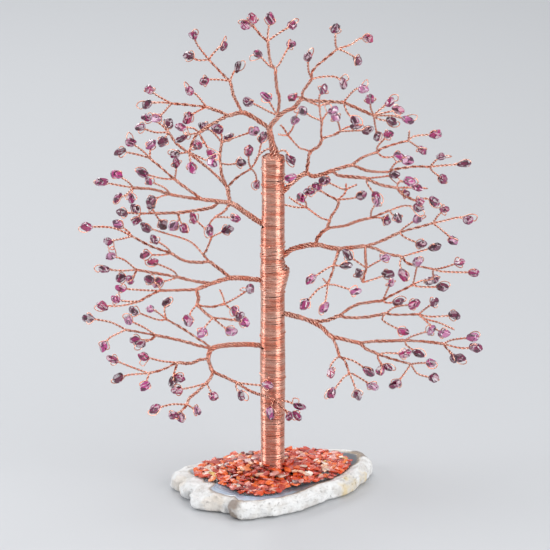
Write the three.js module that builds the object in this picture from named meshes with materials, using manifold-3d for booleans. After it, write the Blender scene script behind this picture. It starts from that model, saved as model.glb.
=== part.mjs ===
// Gemstone tree: twisted copper wire branches tipped with garnet chips, on a wire-wrapped trunk that stands
// in a mound of red jasper chips glued to a slice of agate. Millimetres, +Z up. The origin is on the slice's
// underside, under the trunk's axis, and the tree's face looks along -Y.
import * as THREE from "three";
import { ConvexGeometry } from "three/addons/geometries/ConvexGeometry.js";
import { mergeVertices } from "three/addons/utils/BufferGeometryUtils.js";
import Module from "manifold-3d";

// Overall sizes. The crown below is drawn at the drawn sizes and stretched to the others.
const treeHeight = 250;
const drawnHeight = 250;
const crownSpan = 196;
const drawnSpan = 196;
const crownDepth = 76;
const drawnDepth = 58;
// How far a point of the crown drops for each millimetre that it lies further back.
const crownPitch = 0.306;

// Wire and stones.
const pairRadius = 0.55; // one twisted pair of wires, which carries one chip
const bundleGrowth = 0.3; // power by which a bundle thickens with the number of chips it carries
const chipRadius = 2.7;
const pairSides = 3;
const bundleSides = 4;
const limbSides = 5;
const limbChips = 12; // a bundle that carries more chips than this is a limb
const pathStep = 16; // longest straight step of a bent wire
const pathSlack = 0.7; // a point this close to the straight line past it is left out
const joinSlack = 0.1; // joints are smoothed by no more than this
const rootShare = 0.7; // a wire starts this share of its radius inside what it grows from

// Trunk.
const trunkRadius = 5;
const trunkTop = 177 * (treeHeight / drawnHeight);
const wrapThickness = 0.7;
const wrapSplit = 0.56; // share of the trunk's height where the lower winding ends and the upper begins
const collarHeight = 10;
const collarBottom = 109 * (treeHeight / drawnHeight);
const collarThickness = 0.8;
const collarOffset = 1.1; // the collar bulges to the right
const trunkSides = 16;

// Base.
const slabLength = 102;
const drawnSlabLength = 102;
const slabThickness = 9;
const slabRound = 1.6;
const resinThickness = 1.4;
const resinMargin = 1.5; // the glue shows this far past the chips
const moundHeight = 9; // the heap's height where it meets the trunk
const moundEdge = 1.6; // height of the outermost chips
const moundSpan = 77;
const drawnMoundSpan = 77;

const clearance = 0.3;
const sheathShare = 0.9; // the limbs stand this share of the clearance off the trunk's core

const copper = { color: 0xc9826b, roughness: 0.3, metalness: 1 };
const garnet = { color: 0x7a2a4d, roughness: 0.15, metalness: 0 };
const jasper = { color: 0xb8412a, roughness: 0.4, metalness: 0 };
const agate = { color: 0xd9d4cc, roughness: 0.45, metalness: 0 };
const resin = { color: 0xb9bcc0, roughness: 0.12, metalness: 0 };

// The crown. A branch is a list that starts at its parent's latest point. Its items are points
// [across, up, depth], where a missing depth is filled in between the ones given, and other branches.
// A branch that ends on a point carries a chip there, unless it ends with "bare". A branch whose first item
// is a name is a piece of its own.
const bare = "bare";
const crown = [
  ["crown_leader", [1, 176, 0], [-0.8, 184.5], [-2, 190.5, 0],
    [[-5.5, 193.5], [-12.3, 198], [-15, 199, 2],
      ["spray_crown_west_top", [-16.6, 201.7], [-19.6, 208], [-21.2, 215, 8],
        [[-30.5, 216], [-34, 215]],
        [[-20, 219], [-17.5, 223]],
        [[-24.4, 218.5], [-31.8, 226.7, 15],
          [[-37.8, 234.6], [-39.3, 238.7]],
          [[-37.3, 226.7], [-42, 229]],
          [[-27, 233.3], [-24.8, 234.5]]]],
      [-21.6, 197.6, 2],
      ["spray_crown_west", [-26, 199], [-32.6, 201.3, -6],
        [[-37.6, 207.3], [-41, 209]],
        [[-39.8, 197.6], [-42, 195.7]],
        [[-40, 202.2], [-49.5, 203, -8],
          [[-57, 207], [-60.5, 209.7]],
          [[-56, 203.6], [-62, 202.5]],
          [[-54, 198.7], [-57.5, 196]]]],
      [-26.6, 194.8], [-32, 191.5, -8],
      ["spray_crown_west_low", [-34.4, 189.4], [-36.2, 188, -12],
        [[-39, 190], [-45, 190.5]],
        [[-41.2, 187], [-45, 185]],
        [[-33.7, 183, -16],
          [[-37, 181.5]],
          [[-30.5, 177]]],
        [-38.7, 185], [-41, 178.5, -18],
        [[-36, 175.2], [-29.8, 172.2]],
        [[-40.5, 173], [-39.8, 169.6]],
        [[-48, 177]]]],
    [[-1, 192.5], [2.3, 196.5, -2],
      [[-3, 199.5], [-8, 202], [-12.5, 203.7]],
      [[0.5, 200], [-3.5, 206.8]],
      ["spray_crown_top", [2.5, 200], [3, 206], [1.8, 212], [1, 221.3, 5],
        [[-2, 222.8], [-7.6, 228.8]],
        [[-1, 224], [-2.7, 235.2, 8],
          [[-6, 238.5], [-9.5, 243, 8], [[-10, 247]], [[-13.5, 244]]],
          [[-2.6, 240], [-1.5, 247]],
          [[2, 239.5], [9.5, 244.5]]],
        [[3, 224], [6.5, 231], [9, 235]]],
      [6, 199.5], [10, 201], [14.1, 205.5, -4],
      [[12, 206.3], [9.5, 206]],
      ["spray_crown_east_top", [14.5, 209], [18.7, 215, -8],
        [[17.3, 219], [16.8, 226]],
        [[22, 216.2], [31, 216.3], [34.5, 212.8]],
        [[19, 219], [25, 225], [31, 230, -12],
          [[30.3, 232], [30.2, 239.8]],
          [[38, 232.5], [42, 235.3], [46.5, 235.7]],
          [[38, 227.5], [41.5, 225]]]],
      [19, 204.6], [34, 203.8, -6],
      ["spray_crown_east", [38, 202.3], [49, 197.3, -4],
        [[47.8, 201], [47.5, 205]],
        [[53, 200.5], [57.5, 204]],
        [[54, 198.5], [62, 200.5]],
        [[59, 196.8], [66, 194.5]],
        [[52, 195.3], [58.5, 194.3]],
        [[50.3, 192.5], [51.5, 187]]],
      [[38, 208], [41, 210.3], [44, 209.7]],
      [[36.5, 198.5], [40.2, 194.5]]]],

  ["limb_right_upper", [4, 158, 0], [10, 163.5], [16.2, 167.6, -2],
    [[8.5, 165.3]],
    [[17, 172], [18.2, 178.3, -4],
      ["spray_inner_right", [16, 180], [13, 181.2], [7.5, 187.5, 8],
        [[9.5, 191], [10.8, 195]],
        [[5, 191.5], [3.6, 193], bare],
        [[5, 188], [2.6, 188.6], bare]],
      [22.5, 181.5], [24, 185, -8],
      ["spray_right_rise_left", [23.5, 187], [23.8, 193.5, -12],
        [[18.5, 196], [14.5, 198.8]],
        [[27, 198.5], [29.5, 199.3]],
        [[23, 197], [22.7, 201, -15],
          [[22.5, 206], [24.5, 209.3]],
          [[17, 203.7], bare],
          [[27.5, 203.3], bare]]],
      ["spray_right_rise_right", [30, 187.3], [33, 189.3, 3],
        [[32.3, 193], [30.7, 196.5]],
        [[36.5, 191.5], [41, 192.3]],
        [[38, 189.8], [47, 190.5]]]],
    [20, 166.2], [29, 168.9, 0],
    ["spray_right_upper_low", [32, 166.8], [37, 166], [45.5, 165, -8],
      [[53, 165.5], [59.5, 166.5]],
      [[46.5, 162], [49.5, 157.5], [51, 155]],
      [[53, 161.5], [60.5, 160, -12],
        [[64, 160], [70.8, 159.8]],
        [[62, 163], [67, 163.3]],
        [[62.5, 158.5], [65.5, 157.3]],
        [[63, 157], [69, 153.8, -10], [[72.5, 152.8]], [[75, 154.5], [79.7, 153]]]]],
    [33, 170.5], [38.9, 172.2, 4],
    ["spray_right_upper_high", [45, 176.5], [51.5, 179, 12],
      [[52, 182], [57.3, 188]],
      [[55, 176.7], [63, 177]],
      [[54, 181], [63, 184], [67, 185, 14],
        [[67.8, 190], bare],
        [[70, 187.3], [81, 188.5]],
        [[71, 183], [74.8, 180.5]]]],
    ["spray_right_upper_tip", [46, 169.5], [50, 168.7], [57, 168.5, 2],
      [[61, 173.3], [66.5, 174.3]],
      [[60, 169.8], [71, 171.2], [77, 171, -3],
        [[80.5, 174.5], [82.7, 176]],
        [[82, 171.5], [94.5, 172.5]],
        [[79, 168.8], [84.5, 165]]]]],

  ["limb_right_middle", [4, 124.5, 0], [8.3, 128.3], [21, 130.8, -2],
    [[22, 134], [26.7, 139, 0],
      ["spray_behind_right", [27.5, 141], [28.2, 143.5, 8],
        [[24, 145], [16.9, 150.3, 13],
          [[16.2, 153], [13.8, 155.3]],
          [[12, 150.5], [5, 152], bare],
          [[12, 153], [8, 156], bare]],
        [[29, 145.5], [32.7, 152], [32.3, 154, 12],
          [[28, 156.5], [24, 159, 12], [[21.7, 161.3]], [[18.2, 158.8]]],
          [[40, 155.3], [44.3, 156.7]],
          [[35.7, 157.5], [36.5, 159.5, 14],
            [[34.5, 160], [25.5, 164.2]],
            [[36.5, 163], bare],
            [[42, 162.5], bare]]]],
      [35, 140.5], [40, 142.3, -4],
      ["spray_right_middle_high", [44, 143.6], [48, 144.5, -6],
        [[48.5, 148], [51.3, 153]],
        [[57.5, 148.3, -8],
          [[58.7, 146.5], [61.5, 144.3]],
          [[65, 150.8], [71.8, 149.8]]],
        [[53, 144.7], [56.5, 143.5]]]],
    [28, 129.3], [32.5, 128.7, -2],
    ["spray_right_middle_low", [32, 126], [30, 120.3, -14],
      [[26, 118], [18.5, 112.8]],
      [[33, 119.7], [36.3, 120]],
      [[29.5, 117], [27, 110.5, -20],
        [[22, 107.5], [15.5, 99.8]],
        [[26.5, 106], [25.3, 98.3]],
        [[31, 109.7], [40.8, 106.5]],
        [[24.5, 113], bare]]],
    [45.5, 130, 0],
    ["spray_right_middle_inner", [46, 124], [46.3, 119, -8],
      [[50, 121], [55.3, 124]],
      [[42, 121.7], [37, 125.5]],
      [[45.3, 115], [44.5, 111.5, -9],
        [[42.3, 116]],
        [[49, 112.5], [57.2, 115.5]]]],
    ["spray_right_middle_far", [52, 128.5], [56, 126.2], [64.5, 124.7, 8],
      [[63.5, 121], [65, 115]],
      [[69, 126], [81, 129.7]],
      [[67, 121.5], [80, 118.2, 10],
        [[85, 118.8], [93.5, 121.7]],
        [[84, 117], [101, 116.3]],
        [[80.5, 115.5], [81.7, 112.8]]]],
    ["spray_right_middle_tip", [53, 132.3], [62.5, 137, 2],
      [[65, 139.5], [71.5, 144.2]],
      [[66, 134.5], [74, 131]],
      [[70, 139.3], [79, 141.9, 2],
        [[82, 146], [85, 149]],
        [[84, 143], [93, 145], [97, 143.7]],
        [[86, 137], [90.3, 133]]]]],

  ["limb_right_lower", [4, 95, 0], [15, 92.3, -1],
    [[22, 90.8], [28, 91.5], [33, 93.5, 0],
      ["spray_right_lower_high", [37, 96.6], [42, 99.4], [54.5, 101.5, 6],
        [[57.5, 108], [58.8, 111]],
        [[57, 100.4], [63, 100.8]],
        [[58, 103.5], [69.5, 109.6, 4],
          [[71.3, 117], [72, 122]],
          [[73, 108.9], [84.8, 108.7]],
          [[75, 112], [78.6, 111.8]]]],
      [36, 92.8], [43, 92.7, -3],
      ["spray_right_lower_mid", [48, 93.2], [56, 95, -6],
        [[60.5, 98.3], [70, 99.8]],
        [[54.5, 92], [65, 85.3]],
        [[60, 94.3], [72, 94.5, -8],
          [[75, 97], [80, 101]],
          [[78, 93.3], [90.5, 94]],
          [[76, 92], [83, 90], [91, 86.3], bare],
          [[80, 87.5], [85, 84.6]]]]],
    [24, 88], [28.7, 83.2, -10],
    ["spray_right_low_drop", [31.5, 78], [33, 72.8, -18],
      [[31, 71.5], [28.5, 68], [28.7, 64.5]],
      [[40, 70.3], [47.5, 65]],
      [[35.5, 70.5], [37.8, 64, -22],
        [[35, 62], [28.8, 53.8]],
        [[39.5, 60], [42, 52.5]],
        [[40, 63.3], [49.8, 57]]]],
    [33, 82], [43, 79.6, -12],
    ["spray_right_low_mid", [46.5, 76.5], [52, 74, -18],
      [[52, 72], [53.5, 69, -19], [[53.3, 65.5]], [[56.8, 67]]],
      [[56, 74.5], [65.5, 74]],
      [[60, 71], [68, 68.8, -17],
        [[72, 69.3], [78, 69.5]],
        [[65.5, 64], [61, 58]],
        [[72, 63.5], [80.3, 61]]]],
    ["spray_right_low_tip", [48, 80.2], [65.5, 80.8, -8],
      [[69, 83], [78.5, 86.3]],
      [[66.5, 78.5], [72.5, 74]],
      [[77, 80], [85, 79, -4],
        [[89, 81], [99.5, 82.5]],
        [[94, 76.7], [101.5, 77]],
        [[87.5, 76], [89.5, 73.5, -4], [[90.3, 71.5]], [[93.7, 71.5]]]]]],

  ["limb_left_upper", [-4, 141, 0], [-12.3, 146.4], [-20.7, 152.2, 2],
    ["spray_left_upper_under", [-24.4, 147.8], [-28.4, 145, -14],
      [[-23.7, 144.8], [-18.4, 144.2]],
      [[-31, 142], [-31.3, 138]]],
    [[-22.3, 157], [-22.8, 160.5, 10],
      ["spray_inner_left", [-18.4, 165.8], [-11.5, 170.5, 16],
        [[-12.3, 174], [-12.2, 179.7]],
        [[-8, 176], [-6.2, 183], [-5.2, 187]],
        [[-9, 168], [-8.3, 162.5]]],
      ["spray_left_high", [-28, 166.5], [-36.2, 174], [-48, 183.5], [-52, 189, 12],
        [[-58.7, 189.2], [-66, 191.6]],
        [[-56, 193.5], [-62.6, 197]],
        [[-52.6, 194]],
        [[-55, 184.3]]],
      [-25.7, 167.3], [-26.4, 173, 16],
      [[-22, 173], [-16.2, 174.2]],
      ["spray_left_rise", [-26.8, 177], [-26, 184, 22],
        [[-30, 189.5], [-34.8, 192.7]],
        [[-26, 188.5], [-28.2, 192]],
        [[-22.4, 187.8]],
        [[-9.5, 190.5]]]],
    [-26.6, 153.2, 0],
    ["spray_left_upper_mid", [-29.4, 151], [-33, 149.8], [-47.3, 147.6, 8],
      [[-47, 144.5, 8], [[-44.5, 139.5]], [[-50, 140.5]]],
      [[-59, 147.4, 10],
        [[-61, 151]],
        [[-66, 147.2, 10], [[-75.5, 147.6]], [[-69.3, 149.8]], [[-69, 143.6]]],
        [[-55.5, 141.6]]]],
    [-34.4, 154, -4],
    ["spray_left_upper_far", [-43.4, 160.3], [-48.7, 164.5, 0],
      [[-48.2, 168], [-47.8, 173]],
      [[-54.4, 165], [-64.8, 167.6]],
      [[-54.4, 169.6], [-61, 175.5, 4],
        [[-65, 179.5], [-70.5, 183.5]],
        [[-71, 178.4], [-76, 179]],
        [[-61, 183]]]],
    ["spray_left_upper_tip", [-45, 155.6], [-50.5, 156.6, -8],
      [[-53.7, 160], [-61.2, 163.3]],
      [[-54.4, 156], [-60.5, 153.2]],
      [[-59.4, 159.2], [-68.7, 160, -10],
        [[-71.6, 163], [-77, 166.6]],
        [[-79.8, 162], [-84.4, 163]],
        [[-73, 156.4], [-77, 155]],
        [[-70, 154.3]]]]],

  ["limb_left_middle", [-4, 112, 0], [-13, 113.2], [-20.5, 113.5, -1],
    [[-26.6, 118], [-31.6, 121.8, 2],
      ["spray_left_middle_high", [-35, 125.5, 8],
        [[-33.4, 128.5], [-31, 135, 16],
          [[-33.7, 138.6], [-40, 145]],
          [[-28.4, 136.4], [-23, 139]]],
        [[-41.2, 132.2], [-53.7, 136.8], [-64, 140, 14]]],
      ["spray_left_middle_far", [-36.2, 121.6], [-44.4, 122.5], [-50.5, 126, -2],
        [[-53, 129.3], [-59, 133.4]],
        [[-55.5, 125.5], [-64, 125.5]],
        [[-61.6, 130.4], [-70, 135, -4],
          [[-79.4, 139.4], [-92.3, 140]],
          [[-72, 137.5], [-77.3, 141.5]],
          [[-75, 134], [-82.6, 132.6]]]]],
    [-30, 110.8, -4],
    ["spray_left_middle_mid", [-38, 111.6], [-47.6, 113.8, 6],
      [[-50, 117], [-60, 121.8]],
      [[-52, 112.4], [-58, 111]],
      [[-59, 116], [-68.4, 117.7, 10],
        [[-75, 123], [-81.2, 125]],
        [[-76, 117.3], [-85, 118]],
        [[-70, 114.7, 10], [[-72, 112.5]], [[-77, 113.5]]]]],
    [-38, 107.5, -8],
    ["spray_left_middle_low", [-46.6, 107.2], [-56, 106.8, -8],
      [[-66, 107.2], [-75.5, 108]],
      [[-57, 109.5], [-61.7, 112.8]],
      [[-63, 103.5], [-66, 101.5, -12],
        [[-73.4, 101.4], [-78, 102.5]],
        [[-76, 99], [-84.8, 99]]]],
    ["spray_left_middle_inner", [-37, 103], [-37.7, 99.7, -18],
      [[-40.5, 96], [-42, 91.5]],
      [[-31, 98.5], [-24.4, 100, -16],
        [[-18, 103.5], [-11.5, 108]],
        [[-22, 98.2], [-18.7, 96]],
        [[-25, 104], [-26.5, 107.3], bare]],
      [[-33, 95], [-30, 93, -24],
        [[-33, 89], [-35, 85.3]],
        [[-23.5, 87.5], [-20.7, 86]],
        [[-25, 92.5], [-20.5, 91.8, -24], [[-16.5, 93.7]], [[-14, 90.5]]]]]],

  ["limb_left_lower", [-4, 77.5, 0], [-13, 78.5], [-30.3, 76.6, -4],
    ["spray_left_lower_high", [-35, 79.7], [-46.6, 87.4], [-53.7, 91.5, 10],
      [[-58.7, 95.6], [-61.6, 97]],
      [[-57.3, 91.2], [-70.5, 96]],
      [[-55, 96.8], [-54, 100.5]]],
    ["spray_left_lower_far", [-37, 77.9], [-45, 80.3], [-58.4, 83.3, -2],
      [[-64.4, 87.4], [-72.3, 91.5]],
      [[-61, 81.3, -2], [[-66.5, 79]], [[-69.5, 81]]],
      [[-68, 85.2], [-73.4, 86.3, -5],
        [[-81, 90.3], [-92.3, 92.5]],
        [[-77.5, 84.5], [-82, 82], [-85, 77.5]]]],
    [-32.4, 71.5, -8],
    ["spray_left_low_far", [-37, 70.5], [-41, 68.8], [-47.5, 69.2, -10],
      [[-55, 70], [-64.5, 72.7]],
      [[-49.5, 64, -11], [[-50.2, 59]], [[-46.7, 61]]],
      [[-55, 65.7], [-61.5, 63.8, -12],
        [[-64, 56.8]],
        [[-72, 62.8], [-77.5, 61.2]],
        [[-70, 66.5], [-80.5, 70.7]]]],
    [-30.5, 65, -12],
    ["spray_low_front", [-24, 61.5], [-19, 59, -11],
      [[-7, 57.3], [-3, 57.3, -8]],
      [[-18.3, 55.5], [-16, 52]],
      [[-11, 54], [-1, 50.2, -8],
        [[-1.3, 42.5, -8]],
        [[8, 48.3], [13, 46]],
        [[6, 44, -8], [[8, 41]], [[12, 41]]]]],
    ["spray_left_low", [-30.8, 62], [-33, 59, -18],
      [[-31, 54.5], [-29.5, 52]],
      [[-40, 56.7], [-48, 55]],
      [[-37, 55], [-42, 50.5], [-42.7, 48, -24],
        [[-50, 48], [-58.5, 45.8]],
        [[-45.5, 44.5, -24], [[-49.7, 42.3]], [[-46, 40.7]]],
        [[-38, 44.3]]]]],
];

// The slice's outline and the mound's, seen from above, going round from the left.
const slabOutline = [
  [-52, 6], [-50, -1.5], [-46.5, -4], [-46, -12], [-41, -15.5], [-39.5, -26], [-30, -33.5], [-22, -36],
  [-17, -42], [-10, -42.5], [0, -39.5], [11, -33.5], [19, -26.5], [27, -16.5], [35, -10], [42, 0], [47, 12],
  [50, 23], [47, 35], [38, 40], [26, 43], [10, 43], [-6, 40], [-20, 33], [-32, 24], [-42, 16],
];
const moundOutline = [
  [-39, 3], [-34, -7], [-24, -15], [-17, -27], [-9, -31], [0, -29], [6, -20], [16, -13], [27, -7], [34, 3],
  [38, 15], [35, 27], [24, 34], [8, 35], [-8, 32], [-22, 25], [-34, 14],
];

const wasm = await Module();
wasm.setup();

function solid(geometry) {
  const plain = geometry.index ? geometry.toNonIndexed() : geometry.clone();
  plain.deleteAttribute("normal");
  plain.deleteAttribute("uv");
  const merged = mergeVertices(plain, 1e-4);
  return new wasm.Manifold(
    new wasm.Mesh({
      numProp: 3,
      vertProperties: merged.attributes.position.array,
      triVerts: new Uint32Array(merged.index.array),
    }),
  );
}

function geometryOf(made) {
  const mesh = made.getMesh();
  const geometry = new THREE.BufferGeometry();
  geometry.setAttribute("position", new THREE.BufferAttribute(mesh.vertProperties, 3));
  geometry.setIndex(new THREE.BufferAttribute(mesh.triVerts, 1));
  geometry.computeVertexNormals();
  return geometry;
}

// A number from 0 to 1 that looks random but is always the same for the same two numbers.
function chance(a, b) {
  const wave = Math.sin(a * 12.9898 + b * 78.233) * 43758.5453;
  return wave - Math.floor(wave);
}

// A regular polygon with the area of a circle of the given radius.
function polygon(circleRadius, sides) {
  const corners = [];
  const wedge = (2 * Math.PI) / sides;
  const radius = circleRadius * Math.sqrt(wedge / Math.sin(wedge));
  for (let i = 0; i < sides; i++) {
    const turn = (2 * Math.PI * i) / sides;
    corners.push(new THREE.Vector2(radius * Math.cos(turn), radius * Math.sin(turn)));
  }
  return new THREE.Shape(corners);
}

function wireRadius(chips) {
  return pairRadius * Math.pow(Math.max(chips, 1), bundleGrowth);
}

function sidesFor(chips) {
  if (chips > limbChips) return limbSides;
  return chips > 2 ? bundleSides : pairSides;
}

function straightened(points) {
  const kept = [points[0]];
  for (let i = 1; i < points.length - 1; i++) {
    const line = new THREE.Line3(kept[kept.length - 1], points[i + 1]);
    const nearest = line.closestPointToPoint(points[i], true, new THREE.Vector3());
    if (nearest.distanceTo(points[i]) > pathSlack) kept.push(points[i]);
  }
  return [...kept, points[points.length - 1]];
}

// A wire or bundle along its route. It starts a little inside what it grows from, and can run past both ends.
function tube(route, radius, chips, overrun = 0) {
  const points = straightened(route);
  const last = points.length - 1;
  const start = points[0].clone().sub(points[1]).setLength(radius * rootShare + overrun).add(points[0]);
  const end = points[last].clone().sub(points[last - 1]);
  end.setLength(end.length() + overrun).add(points[last - 1]);
  const curve = new THREE.CatmullRomCurve3([start, ...points.slice(1, last), end], false, "centripetal");
  return solid(
    new THREE.ExtrudeGeometry(polygon(radius, sidesFor(chips)), {
      steps: Math.max(points.length - 1, Math.ceil(curve.getLength() / pathStep)),
      extrudePath: curve,
    }),
  );
}

// An irregular six-cornered chip with its long axis along the wire that holds it.
const chipStretch = [1, 0.8, 0.66];
const chipScatter = 0.6; // how far a chip's corners stray sideways
const chipGrowth = 0.3; // how much larger than its radius a corner may be
const chipCorners = [[1, 0, 0], [-1, 0.1, 0], [0, 1, 0.1], [0, -1, 0], [0.1, 0, 1], [0, 0.1, -1]];
function chip(centre, along, seed) {
  const corners = [];
  chipCorners.forEach((direction, i) => {
    const corner = new THREE.Vector3(...direction);
    corner.x += chipScatter * (chance(seed, i + 10) - 0.5);
    corner.y += chipScatter * (chance(seed, i + 20) - 0.5);
    corner.z += chipScatter * (chance(seed, i + 30) - 0.5);
    corner.setLength(chipRadius * (1 + chipGrowth * chance(seed, i)));
    corners.push(corner.multiply(new THREE.Vector3(...chipStretch)));
  });
  const geometry = new ConvexGeometry(corners);
  geometry.applyQuaternion(
    new THREE.Quaternion().setFromUnitVectors(new THREE.Vector3(1, 0, 0), along.clone().normalize()),
  );
  geometry.translate(centre.x, centre.y, centre.z);
  return solid(geometry);
}

// Places a drawn point: stretched to the overall sizes, set to its depth and clear of the trunk.
const trunkKeepOut = trunkRadius + wrapThickness + 3 * clearance + chipRadius;
function place([across, up, depth], inTrunk) {
  const back = depth * (crownDepth / drawnDepth);
  const height = up * (treeHeight / drawnHeight) - crownPitch * back;
  const at = new THREE.Vector3(across * (crownSpan / drawnSpan), back, height);
  const reach = Math.hypot(at.x, at.y);
  if (!inTrunk && at.z < trunkTop && reach < trunkKeepOut) {
    at.x *= trunkKeepOut / reach;
    at.y *= trunkKeepOut / reach;
  }
  return at;
}

const isPoint = (item) => typeof item[0] === "number";
const isBranch = (item) => item !== bare && typeof item !== "string" && !isPoint(item);

function chipsOn(items) {
  let count = items.filter(isBranch).reduce((sum, item) => sum + chipsOn(item), 0);
  if (isPoint(items[items.length - 1])) count += 1;
  return count;
}

// Gives every point of a branch a depth, and fans its chips forwards and back.
const fan = 3.5;
function withDepths(items, startDepth, turn) {
  const points = items.filter((item) => typeof item !== "string" && isPoint(item));
  let known = startDepth;
  let from = -1;
  points.forEach((point, i) => {
    if (point.length < 3) return;
    for (let k = from + 1; k < i; k++) {
      points[k].push(known + ((point[2] - known) * (k - from)) / (i - from));
    }
    known = point[2];
    from = i;
  });
  for (let k = from + 1; k < points.length; k++) points[k].push(known + fan * turn * (k - from));
}

const pieces = new Map();
let chipNumber = 0;

function grow(items, start, startDepth, owner, turn, clearOf) {
  const named = typeof items[0] === "string" && items[0] !== bare;
  const name = named ? items[0] : owner;
  const body = named ? items.slice(1) : items;
  if (named) {
    // A piece is cut back from the piece it grows out of, and from its neighbours that grow there too.
    const neighbours = owner ? pieces.get(owner).children : [];
    pieces.set(name, { solids: [], wires: [], children: [], clearOf: owner ? [owner, ...neighbours] : [] });
    neighbours.push(name);
  }
  withDepths(body, startDepth, turn);
  const piece = pieces.get(name);
  let left = chipsOn(body);
  let run = start ? [start] : [];
  let depth = startDepth;
  let branches = 0;
  const finish = (chips) => {
    if (run.length < 2) return;
    const radius = wireRadius(chips);
    piece.solids.push(tube(run, radius, chips));
    piece.wires.push([run, radius, chips]);
  };
  body.forEach((item, i) => {
    if (item === bare) {
      finish(1);
      run = [];
    } else if (isPoint(item)) {
      run.push(place(item, !start && i === 0));
      depth = item[2];
    } else {
      finish(left);
      const fork = run[run.length - 1];
      left -= chipsOn(item);
      grow(item, fork, depth, name, (branches % 3) - 1, piece);
      branches += 1;
      run = [fork];
    }
  });
  if (isPoint(body[body.length - 1])) {
    finish(1);
    const end = run[run.length - 1];
    piece.solids.push(chip(end, end.clone().sub(run[run.length - 2]), (chipNumber += 1)));
  }
}

crown.forEach((limb) => grow(limb, null, 0, null, 0, null));

const tree = new THREE.Group();
tree.name = "gemstone_tree";

function add(name, geometry, material, parent = tree) {
  const mesh = new THREE.Mesh(geometry, new THREE.MeshStandardMaterial(material));
  mesh.name = name;
  parent.add(mesh);
}

const joined = (solids) => solids.reduce((whole, next) => whole.add(next));
// The wires of a piece, thickened by the clearance: what the pieces that grow from it are cut back by.
const sheathWire = ([run, radius, chips]) => tube(run, radius + clearance, chips, clearance);
const sheath = (piece) => joined(piece.wires.map(sheathWire));
const largest = (made) => made.decompose().reduce((a, b) => (a.volume() > b.volume() ? a : b));
const smoothed = (made) => made.asOriginal().simplify(joinSlack);

// The trunk's section: two bundles of wire side by side, which leaves a shallow groove down the front.
const grooveTurn = -1.75;
const grooveDepth = 0.5;
const grooveWidth = 0.35; // radians
function trunkSection(growth, sides = trunkSides) {
  const corners = [];
  for (let i = 0; i < sides; i++) {
    const turn = (2 * Math.PI * i) / sides;
    const off = Math.atan2(Math.sin(turn - grooveTurn), Math.cos(turn - grooveTurn));
    const reach = trunkRadius + growth - grooveDepth * Math.exp(-((off / grooveWidth) ** 2));
    corners.push(new THREE.Vector2(reach * Math.cos(turn), reach * Math.sin(turn)));
  }
  return corners;
}

function sleeve(inner, outer, bottom, height, shift = 0) {
  const shape = new THREE.Shape(trunkSection(outer).map((p) => new THREE.Vector2(p.x + shift, p.y)));
  shape.holes.push(new THREE.Path(trunkSection(inner).reverse()));
  const geometry = new THREE.ExtrudeGeometry(shape, { depth: height, bevelEnabled: false });
  return geometry.translate(0, 0, bottom);
}

const slabTop = slabThickness;
const footHeight = slabTop + clearance;
const coreHeight = trunkTop - footHeight;
const core = new THREE.ExtrudeGeometry(new THREE.Shape(trunkSection(0)), {
  depth: coreHeight,
  bevelEnabled: false,
}).translate(0, 0, footHeight);

const wrapInner = clearance;
const wrapOuter = clearance + wrapThickness;
const splitAt = footHeight + coreHeight * wrapSplit;
const windings = {
  trunk_wrap_lower: sleeve(wrapInner, wrapOuter, footHeight, splitAt - footHeight),
  trunk_wrap_upper: sleeve(wrapInner, wrapOuter, splitAt + clearance, trunkTop - 1 - splitAt - clearance),
  trunk_wrap_collar: sleeve(
    wrapOuter + clearance,
    wrapOuter + clearance + collarOffset + collarThickness,
    collarBottom,
    collarHeight,
    collarOffset,
  ),
};

// Limbs are cut back to just inside the windings, and pass through holes in them.
const coreSheath = solid(
  new THREE.ExtrudeGeometry(new THREE.Shape(trunkSection(clearance * sheathShare)), {
    depth: coreHeight + clearance,
    bevelEnabled: false,
  }).translate(0, 0, footHeight),
);
const limbs = crown.map((limb) => pieces.get(limb[0]));
const limbSheaths = joined(limbs.map((piece) => sheathWire(piece.wires[0])));

const crownGroup = new THREE.Group();
tree.add(crownGroup);
pieces.forEach((piece, name) => {
  const cutters = piece.clearOf.map((other) => sheath(pieces.get(other)));
  const made = joined(piece.solids).subtract(joined([coreSheath, ...cutters]));
  add(name, geometryOf(largest(smoothed(made))), name.startsWith("spray") ? garnet : copper, crownGroup);
});

const trunk = new THREE.Group();
tree.add(trunk);
add("trunk_core", core, copper, trunk);
for (const [name, winding] of Object.entries(windings)) {
  add(name, geometryOf(largest(solid(winding).subtract(limbSheaths))), copper, trunk);
}

// Base.
const outlineOf = (outline, scale, grow = 0) =>
  outline.map(([x, y]) => {
    const reach = Math.hypot(x, y);
    return new THREE.Vector2(x, y).multiplyScalar(scale * (1 + grow / reach));
  });

const slab = new THREE.ExtrudeGeometry(
  new THREE.Shape(outlineOf(slabOutline, slabLength / drawnSlabLength, -slabRound)),
  {
    depth: slabThickness - 2 * slabRound,
    bevelThickness: slabRound,
    bevelSize: slabRound,
    bevelSegments: 2,
  },
).translate(0, 0, slabRound);
add("agate_slice", slab, agate);

const socket = wrapOuter + clearance;
const resinOutline = outlineOf(moundOutline, moundSpan / drawnMoundSpan, resinMargin);
const resinShape = new THREE.Shape(resinOutline);
resinShape.holes.push(new THREE.Path(trunkSection(socket).reverse()));
add(
  "resin_bed",
  new THREE.ExtrudeGeometry(resinShape, { depth: resinThickness, bevelEnabled: false }).translate(
    0,
    0,
    slabTop + clearance,
  ),
  resin,
);

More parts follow.
